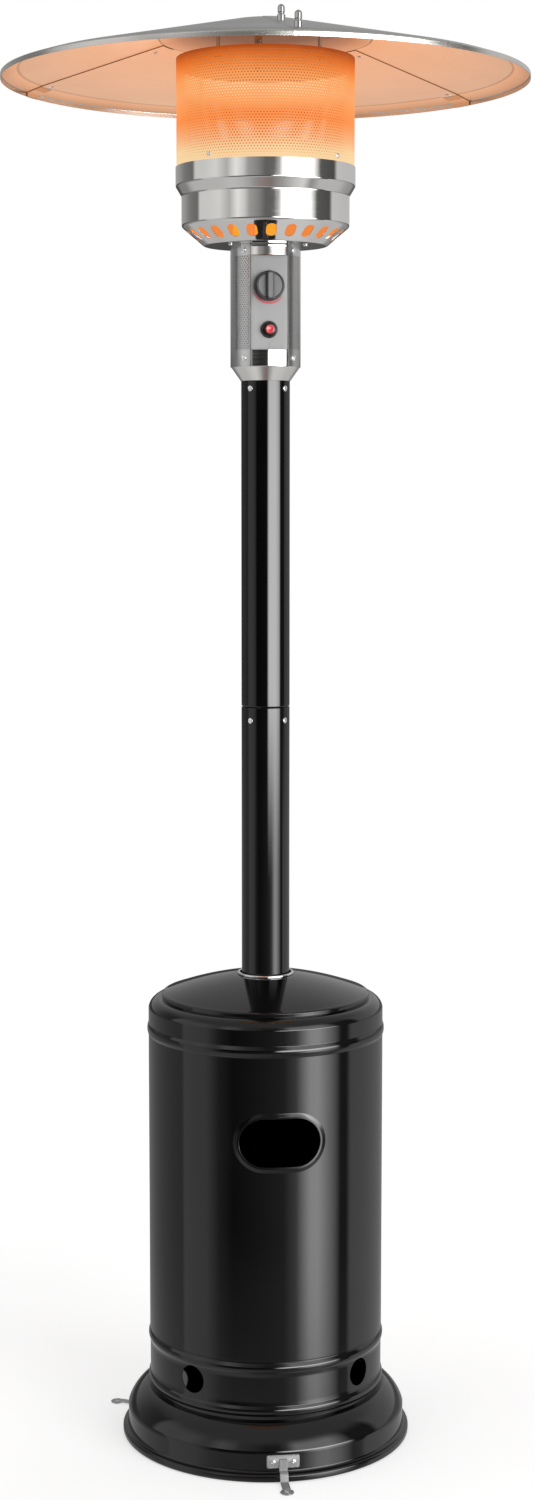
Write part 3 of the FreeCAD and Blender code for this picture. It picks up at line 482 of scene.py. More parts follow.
# Metal that glows: its emission follows a ramp over the height or the radius. On the emitter screen and the
# burner the glow is their own; on the reflector's underside, the crown plate, the emitter cap, the burner
# cup, its bracket and the venturi tube the emission is painted light, the screen's glow falling on them
def glowFinish(name, dark, light, rough, stops, span, along, strength=1.0, settings=None):
    material = metalFinish(name, dark, light, rough, settings={"Emission Strength": strength,
                                                               **(settings or {})})
    tree, shader = material.node_tree, material.node_tree.nodes["Principled BSDF"]
    place = objectPlace(tree)
    if along == "height":
        measure = addNode(tree, "ShaderNodeSeparateXYZ", {0: place}).outputs["Z"]
    else:
        flat = addNode(tree, "ShaderNodeVectorMath", {0: place, 1: (1, 1, 0)}, operation="MULTIPLY")
        measure = addNode(tree, "ShaderNodeVectorMath", {0: flat.outputs[0]},
                          operation="LENGTH").outputs["Value"]
    uneven = 0.02 if along == "height" else 0.0015
    drift = useGroup(tree, toneDrift, {"Vector": place, "Scale": 8.0, "Low": -uneven, "High": uneven})
    share = addNode(tree, "ShaderNodeMapRange", {"Value": measure, "From Min": span[0], "From Max": span[1]})
    shifted = addNode(tree, "ShaderNodeMath", {0: share.outputs[0], 1: drift}, operation="ADD")
    ramp = addNode(tree, "ShaderNodeValToRGB", {"Fac": shifted.outputs[0]})
    fillRamp(ramp.color_ramp, stops)
    tree.links.new(ramp.outputs[0], shader.inputs["Emission Color"])
    return material


screenLow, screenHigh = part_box("emitter_screen")
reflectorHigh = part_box("reflector_panel_1")[1]

blackEnamel = paintFinish("blackEnamel", (0.0010, 0.0010, 0.0011), (0.0022, 0.0022, 0.0024), (0.045, 0.075),
                          strength=0.012, settings={"Coat Weight": 0.1, "Coat Roughness": 0.03})
satinBlack = paintFinish("satinBlack", (0.003, 0.003, 0.003), (0.006, 0.006, 0.006), (0.35, 0.5),
                         strength=0.12)
polishedStainless = metalFinish("polishedStainless", (0.62, 0.605, 0.585), (0.68, 0.67, 0.655), (0.05, 0.09),
                                stretch=(2, 2, 60), depth=0.2)
brushedStainless = metalFinish("brushedStainless", (0.55, 0.55, 0.55), (0.62, 0.62, 0.615), (0.20, 0.26),
                               stretch=(3, 3, 140), depth=0.15, marks=0.03)
panelStainless = metalFinish("panelStainless", (0.27, 0.27, 0.27), (0.30, 0.30, 0.30), (0.40, 0.5),
                             stretch=(140, 3, 3), depth=0.3, settings={"Metallic": 0.25})
aluminium = metalFinish("aluminium", (0.39, 0.39, 0.385), (0.45, 0.45, 0.44), (0.38, 0.46),
                        stretch=(4, 90, 4), depth=0.5)
polishedLip = metalFinish("polishedLip", (0.60, 0.585, 0.55), (0.68, 0.66, 0.63), (0.2, 0.28))
# Painted shade: a dark brown for the lapping strips' edge faces, the shadow line along each seam
paintedSeamShadow = metalFinish("paintedSeamShadow", (0.16, 0.08, 0.045), (0.20, 0.10, 0.06), (0.4, 0.5),
                         settings={"Metallic": 0.3})
nickelPlate = metalFinish("nickelPlate", (0.40, 0.40, 0.40), (0.50, 0.49, 0.48), (0.06, 0.12), depth=0.1)
chrome = metalFinish("chrome", (0.78, 0.78, 0.79), (0.84, 0.84, 0.85), (0.05, 0.09), depth=0.1)
zincPlate = metalFinish("zincPlate", (0.36, 0.36, 0.365), (0.5, 0.5, 0.5), (0.3, 0.42), stretch=(25, 25, 25),
                        settings={"Metallic": 0.75})
bareSteel = metalFinish("bareSteel", (0.40, 0.395, 0.39), (0.52, 0.515, 0.51), (0.28, 0.4),
                        stretch=(12, 12, 12))
gasBrass = metalFinish("gasBrass", (0.62, 0.43, 0.17), (0.74, 0.55, 0.26), (0.22, 0.34), stretch=(12, 12, 60))
blackPlastic = paintFinish("blackPlastic", (0.010, 0.010, 0.010), (0.016, 0.016, 0.016), (0.2, 0.3),
                           peel=900.0)
greyCap = metalFinish("greyCap", (0.13, 0.13, 0.13), (0.17, 0.17, 0.17), (0.4, 0.5), stretch=(4, 4, 120),
                      depth=0.8, settings={"Metallic": 0.2})
redPlastic = paintFinish("redPlastic", (0.50, 0.020, 0.030), (0.62, 0.035, 0.045), (0.16, 0.24), peel=700.0,
                         settings={"Coat Weight": 0.4})
redPrint = paintFinish("redPrint", (0.50, 0.06, 0.07), (0.60, 0.09, 0.10), (0.4, 0.5), peel=900.0)
greyPrint = paintFinish("greyPrint", (0.12, 0.12, 0.12), (0.17, 0.17, 0.17), (0.4, 0.5), peel=900.0)
switchPlastic = paintFinish("switchPlastic", (0.66, 0.65, 0.6), (0.72, 0.71, 0.66), (0.35, 0.45), peel=600.0)
whiteCeramic = paintFinish("whiteCeramic", (0.76, 0.74, 0.68), (0.84, 0.82, 0.77), (0.15, 0.25), peel=400.0)

glowStops = [(0.0, tint(246, 216, 168)), (0.10, tint(246, 212, 160)), (0.21, tint(247, 180, 126)),
             (0.30, tint(250, 160, 96)), (0.38, tint(252, 144, 72)), (0.50, tint(252, 156, 88)),
             (0.62, tint(249, 166, 104)), (0.74, tint(250, 160, 90)), (0.84, tint(242, 132, 56)),
             (0.92, tint(222, 104, 26)), (1.0, tint(165, 66, 12))]
innerStops = [(0.0, tint(255, 214, 150)), (0.10, tint(222, 128, 62)), (0.28, tint(206, 84, 26)),
              (0.50, tint(214, 92, 30)), (0.64, tint(214, 96, 34)), (0.76, tint(255, 200, 132)),
              (0.90, tint(255, 232, 184)), (1.0, tint(255, 220, 160))]
glowSpan = (screenLow.z + 0.012, screenHigh.z)
heated = {"Metallic": 0.0, "Specular IOR Level": 0.08}
glowingMesh = glowFinish("glowingMesh", (0.03, 0.018, 0.01), (0.05, 0.028, 0.016), (0.5, 0.6), glowStops,
                         glowSpan, "height", 0.97, heated)
glowingInside = glowFinish("glowingInside", (0.03, 0.02, 0.012), (0.05, 0.03, 0.02), (0.5, 0.6), innerStops,
                           glowSpan, "height", 1.0, heated)
# The reflector's underside, the crown plate and the emitter cap carry painted light: an emission that changes
# with the radius paints the screen's glow reflected on them
paintedGlowAndShadeStops = [(0.0, tint(118, 66, 32)), (0.12, tint(182, 108, 60)), (0.199, tint(220, 144, 94)),
             # The dark stops at 0.207 and 0.911 are painted shade: thin dark rings at the crown plate's edge
             # and along the brim's crease
             (0.207, tint(80, 40, 16)), (0.214, tint(236, 160, 108)), (0.32, tint(234, 164, 118)),
             (0.65, tint(226, 164, 124)), (0.903, tint(212, 158, 124)), (0.911, tint(160, 108, 74)),
             (0.919, tint(226, 158, 114)), (1.0, tint(190, 130, 92))]
paintedGlowUnderside = glowFinish("paintedGlowUnderside", (0.13, 0.085, 0.045), (0.17, 0.12, 0.075), (0.28, 0.36),
                           paintedGlowAndShadeStops, (0.10, float(reflectorHigh.x)), "radius", 0.86, {"Metallic": 0.2})
# Painted light: the burner cup's inside, the burner bracket and the venturi tube take an orange emission by
# radius for the screen's glow falling on them
paintedCupGlowStops = [(0.0, tint(255, 170, 40)), (0.6, tint(252, 176, 44)), (0.8, tint(246, 150, 70)),
            (1.0, tint(240, 130, 70))]
paintedGlowCup = glowFinish("paintedGlowCup", (0.10, 0.07, 0.05), (0.14, 0.09, 0.06), (0.4, 0.5), paintedCupGlowStops,
                       (0.02, 0.14), "radius", 0.85, heated)
hotStops = [(0.0, tint(255, 120, 20)), (1.0, tint(255, 190, 90))]
hotBurner = glowFinish("hotBurner", (0.3, 0.2, 0.14), (0.36, 0.25, 0.18), (0.4, 0.5), hotStops,
                       (1.95, 2.05), "height", 0.8)
print("materials made:", len(bpy.data.materials))


basePan = {"sheet": 0.0015, "rimReturn": 0.008, "rimHeight": 0.0125, "wallInset": 0.009, "wallTop": 0.054,
           "deckRadius": 0.190, "shoulderRise": 0.005, "drainRadius": 0.020, "turns": 200, "fillet": 0.0045,
           "wallEnd": 0.012, "shoulderStart": 0.008}


def buildBasePan():
    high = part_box("base_pan")[1]
    rim, deck, wall = high.x, high.z, high.x - basePan["wallInset"]
    foot = rounded([(rim - basePan["rimReturn"], 0), (rim, 0), (rim, basePan["rimHeight"]),
                    (wall, basePan["rimHeight"]), (wall, basePan["wallTop"] - basePan["wallEnd"])],
                   basePan["fillet"], 6)
    shoulder = bowed((wall, basePan["wallTop"] - basePan["shoulderStart"]), (basePan["deckRadius"], deck),
                     basePan["shoulderRise"], 14)
    line = np.vstack([foot, shoulder, [(basePan["drainRadius"], deck)]])
    makePiece("basePan", [spin(sheetLoop(line, basePan["sheet"]), basePan["turns"])], [blackEnamel], "root",
              "base_pan")


ventRing = {"sheet": 0.001, "flange": 0.008, "beadRise": 0.0016, "beadProud": 0.0010, "beadHalf": 0.0085,
            "lowBead": 0.0145, "highBead": 0.0110, "lipInset": 0.0012, "lipHeight": 0.016,
            "holeRadius": 0.022, "holeHeight": 0.0525, "angles": (45, 135, 225, 315), "lipFillet": 0.0006,
            "lipFoot": 0.002, "window": {"tall": 0.0226, "wide": 0.030, "cells": 12, "rows": 12,
                                         "between": 26, "rings": 3}}


def buildVentRing():
    low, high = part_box("vent_ring")
    wall, base, top = high.x - ventRing["beadRise"], low.z, high.z - ventRing["lipHeight"]
    lowBead, highBead, half = base + ventRing["lowBead"], top - ventRing["highBead"], ventRing["beadHalf"]
    rise = ventRing["beadRise"] + ventRing["beadProud"]
    line = np.vstack([[(wall - ventRing["flange"], base), (wall, base)],
                      bowed((wall, lowBead - half), (wall, lowBead + half), rise, 14),
                      bowed((wall, highBead - half), (wall, highBead + half), rise, 14),
                      rounded([(wall, top - ventRing["lipFoot"]), (wall, top),
                               (wall - ventRing["lipInset"], top),
                               (wall - ventRing["lipInset"], high.z)], ventRing["lipFillet"], 3)])
    lengths = np.linalg.norm(np.diff(line, axis=0), axis=1)
    uprightStart = int(np.argmax(line[:, 1] >= lowBead + half - 1e-9))
    start = lengths[:uprightStart].sum()
    middle = start + base + ventRing["holeHeight"] - (lowBead + half)
    hole = {"angles": ventRing["angles"], "middle": middle, **ventRing["window"]}
    wallPart = holedWall(line, ventRing["sheet"], hole,
                         lambda turn: np.full_like(turn, ventRing["holeRadius"]))
    makePiece("ventRing", [wallPart], [blackEnamel], "root", "vent_ring")


# A pan head with a crossed recess: the head's domed height, less the recess where the
# smaller of |x| and |y| is under an arm's half width; the shank hangs below
def panScrew(radius, height, shank, reach, turns=40):
    crown = np.array([(0, 1), (0.12, 1), (0.24, 1), (0.36, 0.99), (0.48, 0.98), (0.60, 0.95), (0.74, 0.88)])
    profile = np.vstack([crown * (radius, height),
                         rounded([(0.82 * radius, height * 0.82), (radius, height * 0.6), (radius, 0),
                                  (shank, 0)], 0.2 * radius, 3),
                         [(shank, -reach), (0.0, -reach - shank * 0.4)]])
    points, faces = spin(profile, turns, closed=False)
    x, y = np.abs(points[:, 0]), np.abs(points[:, 1])
    arm, length = 0.13 * radius, 0.62 * radius
    inArm = np.clip((arm * 1.5 - np.minimum(x, y)) / (arm * 0.8), 0, 1)
    inReach = np.clip((length - np.maximum(x, y)) / (0.15 * radius), 0, 1)
    points[:, 2] -= 0.5 * height * inArm * inReach * (points[:, 2] > 0.5 * height)
    return points, faces


screwGroups = [
    {"piece": "anchorScrews", "node": "anchor_screws", "head": 0.0040, "rise": 0.0024, "shank": 0.002,
     "reach": 0.006},
    {"piece": "postJointScrews", "node": "post_joint_screws", "head": 0.0045, "rise": 0.0022, "shank": 0.0025,
     "reach": 0.006},
    {"piece": "postTopScrews", "node": "post_top_screws", "head": 0.0045, "rise": 0.0022, "shank": 0.0025,
     "reach": 0.006},
    {"piece": "guardScrews", "node": "guard_screws", "head": 0.0045, "rise": 0.0024, "shank": 0.002,
     "reach": 0.005},
    {"piece": "screenScrews", "node": "screen_screws", "head": 0.0038, "rise": 0.0022, "shank": 0.002,
     "reach": 0.006}]
quarterAngles = (45, 135, 225, 315)
anchor = {"angles": {"front": 0, "right": 120, "left": 240}, "sheet": 0.002, "plateWidth": 0.051,
          "plateLow": 0.0204, "plateHigh": 0.0413, "corner": 0.003, "stemWidth": 0.013, "eyeRadius": 0.0105,
          "eyeHole": 0.0042, "eyeReach": 0.270, "screwGap": 0.032, "rimGap": 0.0065, "stemTop": 0.006,
          "bendLow": 0.0175, "bendOut": 0.0045, "rimTop": (0.0153, 0.0148), "bend": 0.003}


# Every screw of a group as (angle, height), on a wall of one radius
def screwPlaces(group):
    low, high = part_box(group["node"])
    middle = (low.z + high.z) / 2
    if group["node"] == "anchor_screws":
        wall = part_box("base_pan")[1].x - basePan["wallInset"] + anchor["sheet"]
        side = math.degrees(math.asin(anchor["screwGap"] / 2 / wall))
        return [(angle + turn, middle) for angle in anchor["angles"].values() for turn in (-side, side)], wall
    if group["node"] == "guard_screws":
        heights = (low.z + group["head"], high.z - group["head"])
        places = [(angle, height) for angle in quarterAngles for height in heights]
        return places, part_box("housing_guard_right")[1].x
    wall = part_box("lower_post")[1].x if "post" in group["node"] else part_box("emitter_screen")[1].x
    return [(angle, middle) for angle in quarterAngles], wall


def buildScrews():
    for group in screwGroups:
        places, wall = screwPlaces(group)
        screw = panScrew(group["head"], group["rise"], group["shank"], group["reach"])
        roll = np.radians(23 + 31 * np.arange(len(places)))
        parts = []
        for (angle, height), turn in zip(places, roll):
            cos, sin = math.cos(turn), math.sin(turn)
            turned = (screw[0] @ np.array([[cos, sin, 0], [-sin, cos, 0], [0, 0, 1]]), screw[1])
            parts.append(onWall(turned, angle, wall, height))
        makePiece(group["piece"], parts, [chrome], "root", group["node"])


# The strap: a flat section carried down the wall, over the rim and out along the floor
def anchorStrap(path, width, sheet):
    path = np.asarray(path, float)
    run = np.gradient(path, axis=0)
    run /= np.linalg.norm(run, axis=1)[:, None]
    normal = np.stack([-run[:, 1], run[:, 0]], axis=1)
    section = rounded([(-width / 2, 0), (width / 2, 0), (width / 2, sheet), (-width / 2, sheet)], 0.0006, 3,
                      True)
    place = path[:, None] - normal[:, None] * section[None, :, 1:]
    side = np.broadcast_to(section[None, :, 0], place.shape[:2])
    return np.stack([side, -place[..., 0], place[..., 1]], axis=-1)


def buildAnchors():
    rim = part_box("base_pan")[1].x
    wall = rim - basePan["wallInset"]
    sheet, eye = anchor["sheet"], anchor["eyeReach"]
    low, high = anchor["plateLow"], anchor["plateHigh"]
    for side, angle in anchor["angles"].items():
        insets = np.array([0, 0, 0.0005, 0.003, 0.006, 0.009, (high - low) / 2])
        lift = np.array([0, sheet - 0.0005, sheet, sheet, sheet, sheet, sheet])
        flat = insetRings(anchor["plateWidth"], high - low, anchor["corner"], insets)
        plateRings = aroundPost(flat[..., 0] / wall, wall + hair + lift[:, None],
                                flat[..., 1] + (low + high) / 2)
        plate = stackRings(plateRings)
        path = rounded([(wall + sheet, high - anchor["stemTop"]), (wall + sheet, anchor["bendLow"]),
                        (wall + anchor["bendOut"], anchor["rimTop"][0]), (rim + 0.0015, anchor["rimTop"][1]),
                        (rim + anchor["rimGap"], sheet), (eye - anchor["stemTop"], sheet)], anchor["bend"], 4)
        stem = stackRings(anchorStrap(path, anchor["stemWidth"], -sheet))
        ring = rounded([(anchor["eyeHole"], 0), (anchor["eyeRadius"], 0), (anchor["eyeRadius"], sheet),
                        (anchor["eyeHole"] + 0.0035, sheet), (anchor["eyeHole"] + 0.0028, sheet + 0.001),
                        (anchor["eyeHole"], sheet + 0.001)], 0.0005, 3, True)
        eyePoints, eyeFaces = spin(ring, 48)
        parts = [plate, stem, (eyePoints + (0, -eye, 0), eyeFaces)]
        turn = math.radians(angle)
        spinRound = np.array([[math.cos(turn), math.sin(turn), 0], [-math.sin(turn), math.cos(turn), 0],
                              [0, 0, 1]])
        parts = [(points @ spinRound, faces) for points, faces in parts]
        makePiece("anchor" + side.title(), parts, [zincPlate], "root", "anchor_bracket_" + side)


coverShell = {"sheet": 0.0009, "beadRise": 0.0016, "beadProud": 0.0006, "beadHalf": 0.0095,
              "beadDrop": 0.033, "shoulderRise": 0.0155, "shoulderInset": 0.0219, "shoulderBow": 0.0055,
              "holeRadius": 0.038, "holeHalf": 0.0248, "rimWall": 0.002, "rimFlange": 0.009,
              "rimRise": 0.0016, "rimDepth": 0.004, "rimFillet": 0.0011, "hem": 0.003,
              "window": {"tall": 0.050, "wide": 0.078, "cells": 24, "rows": 14, "between": 60, "rings": 4}}


def coverSizes():
    low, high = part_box("cover_shell")
    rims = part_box("hand_hole_rim_front")
    return high.x - coverShell["beadRise"], low.z, high.z, (rims[0].z + rims[1].z) / 2


def buildCoverShell():
    radius, base, top, holeHeight = coverSizes()
    shoulder = top - coverShell["shoulderRise"]
    bead, half = shoulder - coverShell["beadDrop"], coverShell["beadHalf"]
    rise = coverShell["beadRise"] + coverShell["beadProud"]
    line = np.vstack([rounded([(radius - 0.0006, base), (radius, base + 0.0003),
                               (radius, base + coverShell["hem"])], 0.0004, 3),
                      bowed((radius, bead - half), (radius, bead + half), rise, 16),
                      bowed((radius, shoulder), (radius - coverShell["shoulderInset"], top),
                            coverShell["shoulderBow"], 16)])
    lengths = np.linalg.norm(np.diff(line, axis=0), axis=1)
    wallStart = int(np.argmax(line[:, 1] >= base + coverShell["hem"] - 1e-9))
    cut = coverShell["holeRadius"] + coverShell["rimWall"]
    middle = lengths[:wallStart].sum() + holeHeight - line[wallStart, 1]
    hole = {"angles": (0, 180), "middle": middle, **coverShell["window"]}
    shell = holedWall(line, coverShell["sheet"], hole,
                      lambda turn: longHoleReach(turn, coverShell["holeHalf"], cut))
    makePiece("coverShell", [shell], [blackEnamel], "tank_cover", "cover_shell")


# A rolled section carried round the long hole's edge and laid on the cover's curve
def buildHandHoleRims():
    radius, _, _, height = coverSizes()
    inner, half, flange = coverShell["holeRadius"], coverShell["holeHalf"], coverShell["rimFlange"]
    rise, depth, wall = coverShell["rimRise"], coverShell["rimDepth"], coverShell["rimWall"]
    section = rounded([(0, -depth), (wall, -depth), (wall, hair), (flange, hair), (flange, rise * 0.35),
                       (flange * 0.62, rise * 0.7), (wall * 1.6, rise), (0.0003, rise), (0, rise * 0.4)],
                      coverShell["rimFillet"], 4, True)
    bend, run = np.linspace(-90, 90, 33), np.linspace(half, -half, 10)[1:-1]
    turn = np.radians(np.concatenate([bend, np.full(len(run), 90), bend + 180, np.full(len(run), 270)]))
    centre = np.concatenate([np.full(len(bend), half), run, np.full(len(bend), -half), -run])
    x = centre[:, None] + (inner + section[None, :, 0]) * np.cos(turn)[:, None]
    z = height + (inner + section[None, :, 0]) * np.sin(turn)[:, None]
    angle = np.arcsin(x / radius)
    for side, start in (("Front", 0), ("Back", math.pi)):
        points = aroundPost(angle + start, radius + section[None, :, 1], z).reshape(-1, 3)
        faces = gridFaces(len(turn), len(section), True, True)
        makePiece("handHoleRim" + side, [(points, faces)], [blackEnamel], "tank_cover",
                  "hand_hole_rim_" + side.lower(), sharp=50)


coverDome = {"sheet": 0.0009, "skirt": 0.003, "step": 0.0085, "stepInset": 0.0026, "bow": 0.003,
             "flat": 0.006, "stepFillet": 0.0016}
coverRing = {"bore": 0.041, "wall": 0.002, "flange": 0.0022, "height": 0.004, "skirt": 0.006}


def buildCoverTop():
    low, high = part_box("cover_dome")
    radius, top, base = high.x, high.z, low.z + coverDome["skirt"]
    hole = coverRing["bore"] + coverRing["wall"]
    stepTop = base + coverDome["step"]
    edge = rounded([(radius, low.z), (radius, stepTop - 0.0015), (radius - coverDome["stepInset"], stepTop),
                    (radius - coverDome["stepInset"] - 0.004, stepTop + 0.0012)],
                   coverDome["stepFillet"], 5)
    crown = bowed((radius - coverDome["stepInset"] - 0.0045, stepTop + 0.0014),
                  (hole + coverDome["flat"], top), coverDome["bow"], 24)
    line = np.vstack([edge, crown, [(hole, top)]])
    makePiece("coverDome", [spin(sheetLoop(line, coverDome["sheet"]), 180)], [blackEnamel], "tank_cover",
              "cover_dome")
    bore, outer = coverRing["bore"], hole
    loop = rounded([(bore, top - coverRing["skirt"]), (outer, top - coverRing["skirt"]),
                    (outer, top + hair), (outer + coverRing["flange"], top + hair),
                    (outer + coverRing["flange"], top + 0.003), (outer + 0.0008, top + coverRing["height"]),
                    (bore, top + coverRing["height"])], 0.0009, 4, True)
    makePiece("coverRing", [spin(loop, 96)], [chrome], "tank_cover", "cover_ring")


post = {"wall": 0.0015, "edge": 0.0012, "spigotInset": 0.0017, "shoulderRise": 0.0026,
        "jointGap": 0.0002}


def buildPosts():
    low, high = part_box("lower_post")
    radius, wall = high.x, post["wall"]
    tube = rounded([(radius - wall, low.z), (radius, low.z), (radius, high.z), (radius - wall, high.z)],
                   post["edge"] * 0.5, 4, True)
    makePiece("lowerPost", [spin(tube, 96)], [blackEnamel], "root", "lower_post")
    low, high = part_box("upper_post")
    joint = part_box("lower_post")[1].z
    spigot = radius - post["spigotInset"]
    line = rounded([(spigot, low.z), (spigot, joint + post["jointGap"]),
                    (radius, joint + post["shoulderRise"]),
                    (radius, high.z)], post["edge"], 4)
    makePiece("upperPost", [spin(sheetLoop(line, wall), 96)], [blackEnamel], "root", "upper_post")


head = {"sheet": 0.0012, "coneFoot": 0.0386, "collar": 0.025, "neckOpening": 0.034, "guardStart": 32.6,
        "meshStart": 34.2, "meshEnd": 64.5, "guardEnd": 179.5, "guardSheet": 0.0011, "pitch": 0.0048,
        "rowStep": 0.0033, "holeRadius": 0.00135, "footReturn": 0.0022, "coneFillet": 0.004,
        "neckFillet": 0.0018, "hem": 0.0008, "hemTuck": 0.0004, "windowGap": 0.0005, "meshInset": 0.00025}


def buildHeadShells():
    postTop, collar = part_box("upper_post")[1].z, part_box("head_cone")[1].x
    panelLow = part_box("control_panel")[0].z
    coneTop = panelLow - head["collar"]
    foot = postTop + post["jointGap"]
    line = np.vstack([[(head["coneFoot"] - head["footReturn"], foot)],
                      rounded([(head["coneFoot"], foot), (collar - 0.0002, coneTop),
                               (collar, panelLow)],
                              head["coneFillet"], 6)])
    makePiece("headCone", [spin(sheetLoop(line, head["sheet"]), 120)], [polishedStainless], "root",
              "head_cone")
    low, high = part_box("head_neck")
    line = rounded([(collar, low.z), (collar, high.z), (head["neckOpening"], high.z)], head["neckFillet"], 5)
    makePiece("headNeck", [spin(sheetLoop(line, head["sheet"]), 120)], [polishedStainless], "root",
              "head_neck")


# One guard: a curved sheet whose grid of (angle, height) leaves a window, and the
# perforated sheet that fills the window from inside the sheet's own thickness
def guardParts(mirror):
    low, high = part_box("housing_guard_right")
    panelLow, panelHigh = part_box("control_panel")[0].z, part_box("control_panel")[1].z
    outer, sheet = high.x, head["guardSheet"]
    angles = np.radians(np.concatenate([[head["guardStart"], head["meshStart"]],
                                        np.linspace(head["meshStart"], head["meshEnd"], 13)[1:],
                                        np.linspace(head["meshEnd"], head["guardEnd"], 49)[1:]]))
    hem, tuck, gap = head["hem"], head["hemTuck"], head["windowGap"]
    heights = np.array([low.z, low.z + hem, panelLow + gap, panelHigh - gap, high.z - hem, high.z])
    swell = np.array([-tuck, 0, 0, 0, 0, -tuck])
    faces = gridFaces(len(angles), len(heights))
    i, j = np.divmod(np.arange(len(faces)), len(heights) - 1)
    faces = faces[~((i >= 1) & (i < 13) & (j == 2))]
    skins = [aroundPost(angles[:, None], outer + swell - inset, heights[None]).reshape(-1, 3)
             for inset in (0, sheet)]
    frameSheet = thicken(*skins, faces)
    meshRadius = outer - head["meshInset"]
    span = np.radians(head["meshEnd"] - head["meshStart"]) * meshRadius
    columns = int(round(span / head["pitch"]))
    rows = int(round((panelHigh - panelLow) / head["rowStep"]))
    filled = perforated(meshRadius, sheet - 2 * head["meshInset"],
                        np.radians(head["meshStart"]) + 0.25 * head["pitch"] / meshRadius, columns,
                        head["pitch"], panelLow, rows, head["rowStep"], head["holeRadius"])
    parts = [frameSheet, filled[:2]]
    if mirror:
        parts = [(points * (-1, 1, 1), faces) for points, faces in parts]
    return parts


def buildGuards():
    for side, mirror in (("Right", False), ("Left", True)):
        makePiece("housingGuard" + side, guardParts(mirror), [brushedStainless], "root",
                  "housing_guard_" + side.lower())


panel = {"corner": 0.0015, "edge": 0.0008}


# A plate whose rounded outline steps forward and then inward to its middle
def buildPanel():
    low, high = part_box("control_panel")
    width, height, front = high.x - low.x, high.z - low.z, low.y
    insets = np.array([0.0, 0.0, 0.0003, panel["edge"], 0.006, 0.014, 0.022, width / 2])
    depths = np.array([front + 0.0012, front + panel["edge"], front + 0.0003, front, front, front, front,
                       front])
    flat = insetRings(width, height, panel["corner"], insets)
    y = np.broadcast_to(depths[:, None], flat.shape[:2])
    rings = np.stack([flat[..., 0], y, flat[..., 1] + (low.z + high.z) / 2], axis=-1)
    makePiece("controlPanel", [stackRings(rings)], [panelStainless], "root", "control_panel")


knob = {"faceInset": 0.0040, "edge": 0.0016, "taper": 0.0016, "depth": 0.012, "gripWidth": 0.0125,
        "gripEdge": 0.0012, "gripCorner": 0.0055}


def facingFront(part, x, y, z):
    return placed(part, (x, y, z), (1, 0, 0), (0, 0, 1), (0, -1, 0))


def buildKnob():
    low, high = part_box("control_knob")
    radius, back, middle = high.x, high.y, (low.z + high.z) / 2
    grip = back - low.y
    depth, faceRadius = knob["depth"], radius - knob["faceInset"]
    skirt = rounded([(0, 0), (radius, 0), (radius, 0.0018), (radius - knob["taper"], depth),
                     (faceRadius, depth), (faceRadius - 0.0006, depth - 0.0006), (0, depth - 0.0006)],
                    knob["edge"], 5)
    cap = rounded([(0, depth - 0.0007), (faceRadius - 0.0010, depth - 0.0007), (faceRadius - 0.0010, depth),
                   (0, depth)], 0.0004, 3)
    length = 2 * (radius - knob["taper"]) - 0.0006
    insets = np.array([0, 0, 0, knob["gripEdge"] * 0.3, knob["gripEdge"], knob["gripEdge"] + 0.0003,
                       0.003, 0.0045, knob["gripWidth"] / 2])
    lifts = np.array([depth - 0.002, depth + 0.002, grip - knob["gripEdge"], grip - knob["gripEdge"] * 0.3,
                      grip, grip, grip, grip, grip])
    flat = insetRings(knob["gripWidth"], length, knob["gripCorner"], insets)
    rings = np.concatenate([flat, np.broadcast_to(lifts[:, None, None], (*flat.shape[:2], 1))], axis=-1)
    bar = stackRings(rings)
    perRing = flat.shape[1]
    barSlots = np.where(np.arange(len(bar[1])) // perRing >= 7, 1, 0)
    parts = [spin(skirt, 96, False), (*spin(cap, 96, False), 1), (*bar, barSlots)]
    parts = [(*facingFront(part[:2], 0, back, middle), *part[2:]) for part in parts]
    makePiece("controlKnob", parts, [blackPlastic, greyCap], "knob", "control_knob")


igniter = {"front": 0.0112, "depth": 0.006, "bore": 0.0090, "barrel": 0.0105, "insert": 0.0066, "stem": 0.003,
           "capLength": 0.019}


def buildIgniter():
    low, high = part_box("igniter_body")
    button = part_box("igniter_button")
    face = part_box("control_panel")[0].y
    middle = (button[0].z + button[1].z) / 2
    radius = (high.z - low.z) / 2
    length = high.y - face
    bezel = rounded([(igniter["bore"], -length), (igniter["barrel"], -length), (igniter["barrel"], -0.0005),
                     (igniter["barrel"], hair), (radius, hair), (igniter["front"], igniter["depth"]),
                     (igniter["bore"], igniter["depth"] - 0.0008)], 0.0009, 4, True)
    makePiece("igniterBezel", [facingFront(spin(bezel, 72), 0, face, middle)], [blackPlastic], "root",
              "igniter_body")
    buttonRadius = button[1].x
    reach = face - button[0].y
    stem = face - button[1].y
    insert = igniter["insert"]
    stemRadius, capBack = igniter["stem"], reach - igniter["capLength"]
    profile = rounded([(0, stem), (stemRadius, stem), (stemRadius, capBack), (buttonRadius, capBack),
                       (buttonRadius, reach - 0.0006), (insert + 0.0002, reach), (insert, reach - 0.0003),
                       (insert - 0.0012, reach - 0.0001), (0, reach - 0.0009)], 0.0008, 4)
    points, faces = spin(profile, 64, False)
    # Faces outside the red insert's radius, and the stem behind, take black plastic; the black ring round the
    # red cap paints the shade in the bezel's recess
    fromMiddle = np.hypot(points[:, 0], points[:, 1])[faces].mean(axis=1)
    shadeRingAndStem = np.where((fromMiddle > igniter["insert"]) | (points[faces, 2].mean(axis=1) < reach - 0.003),
                       1, 0)
    button = (*facingFront((points, faces), 0, face, middle), shadeRingAndStem)
    makePiece("igniterButton", [button], [redPlastic, blackPlastic], "igniter", "igniter_button")


spring = {"wire": 0.0005, "turns": 5, "steps": 28, "gap": 0.00003,
          "joints": {"spindle": "knob_push", "igniter": "igniter_press"}}


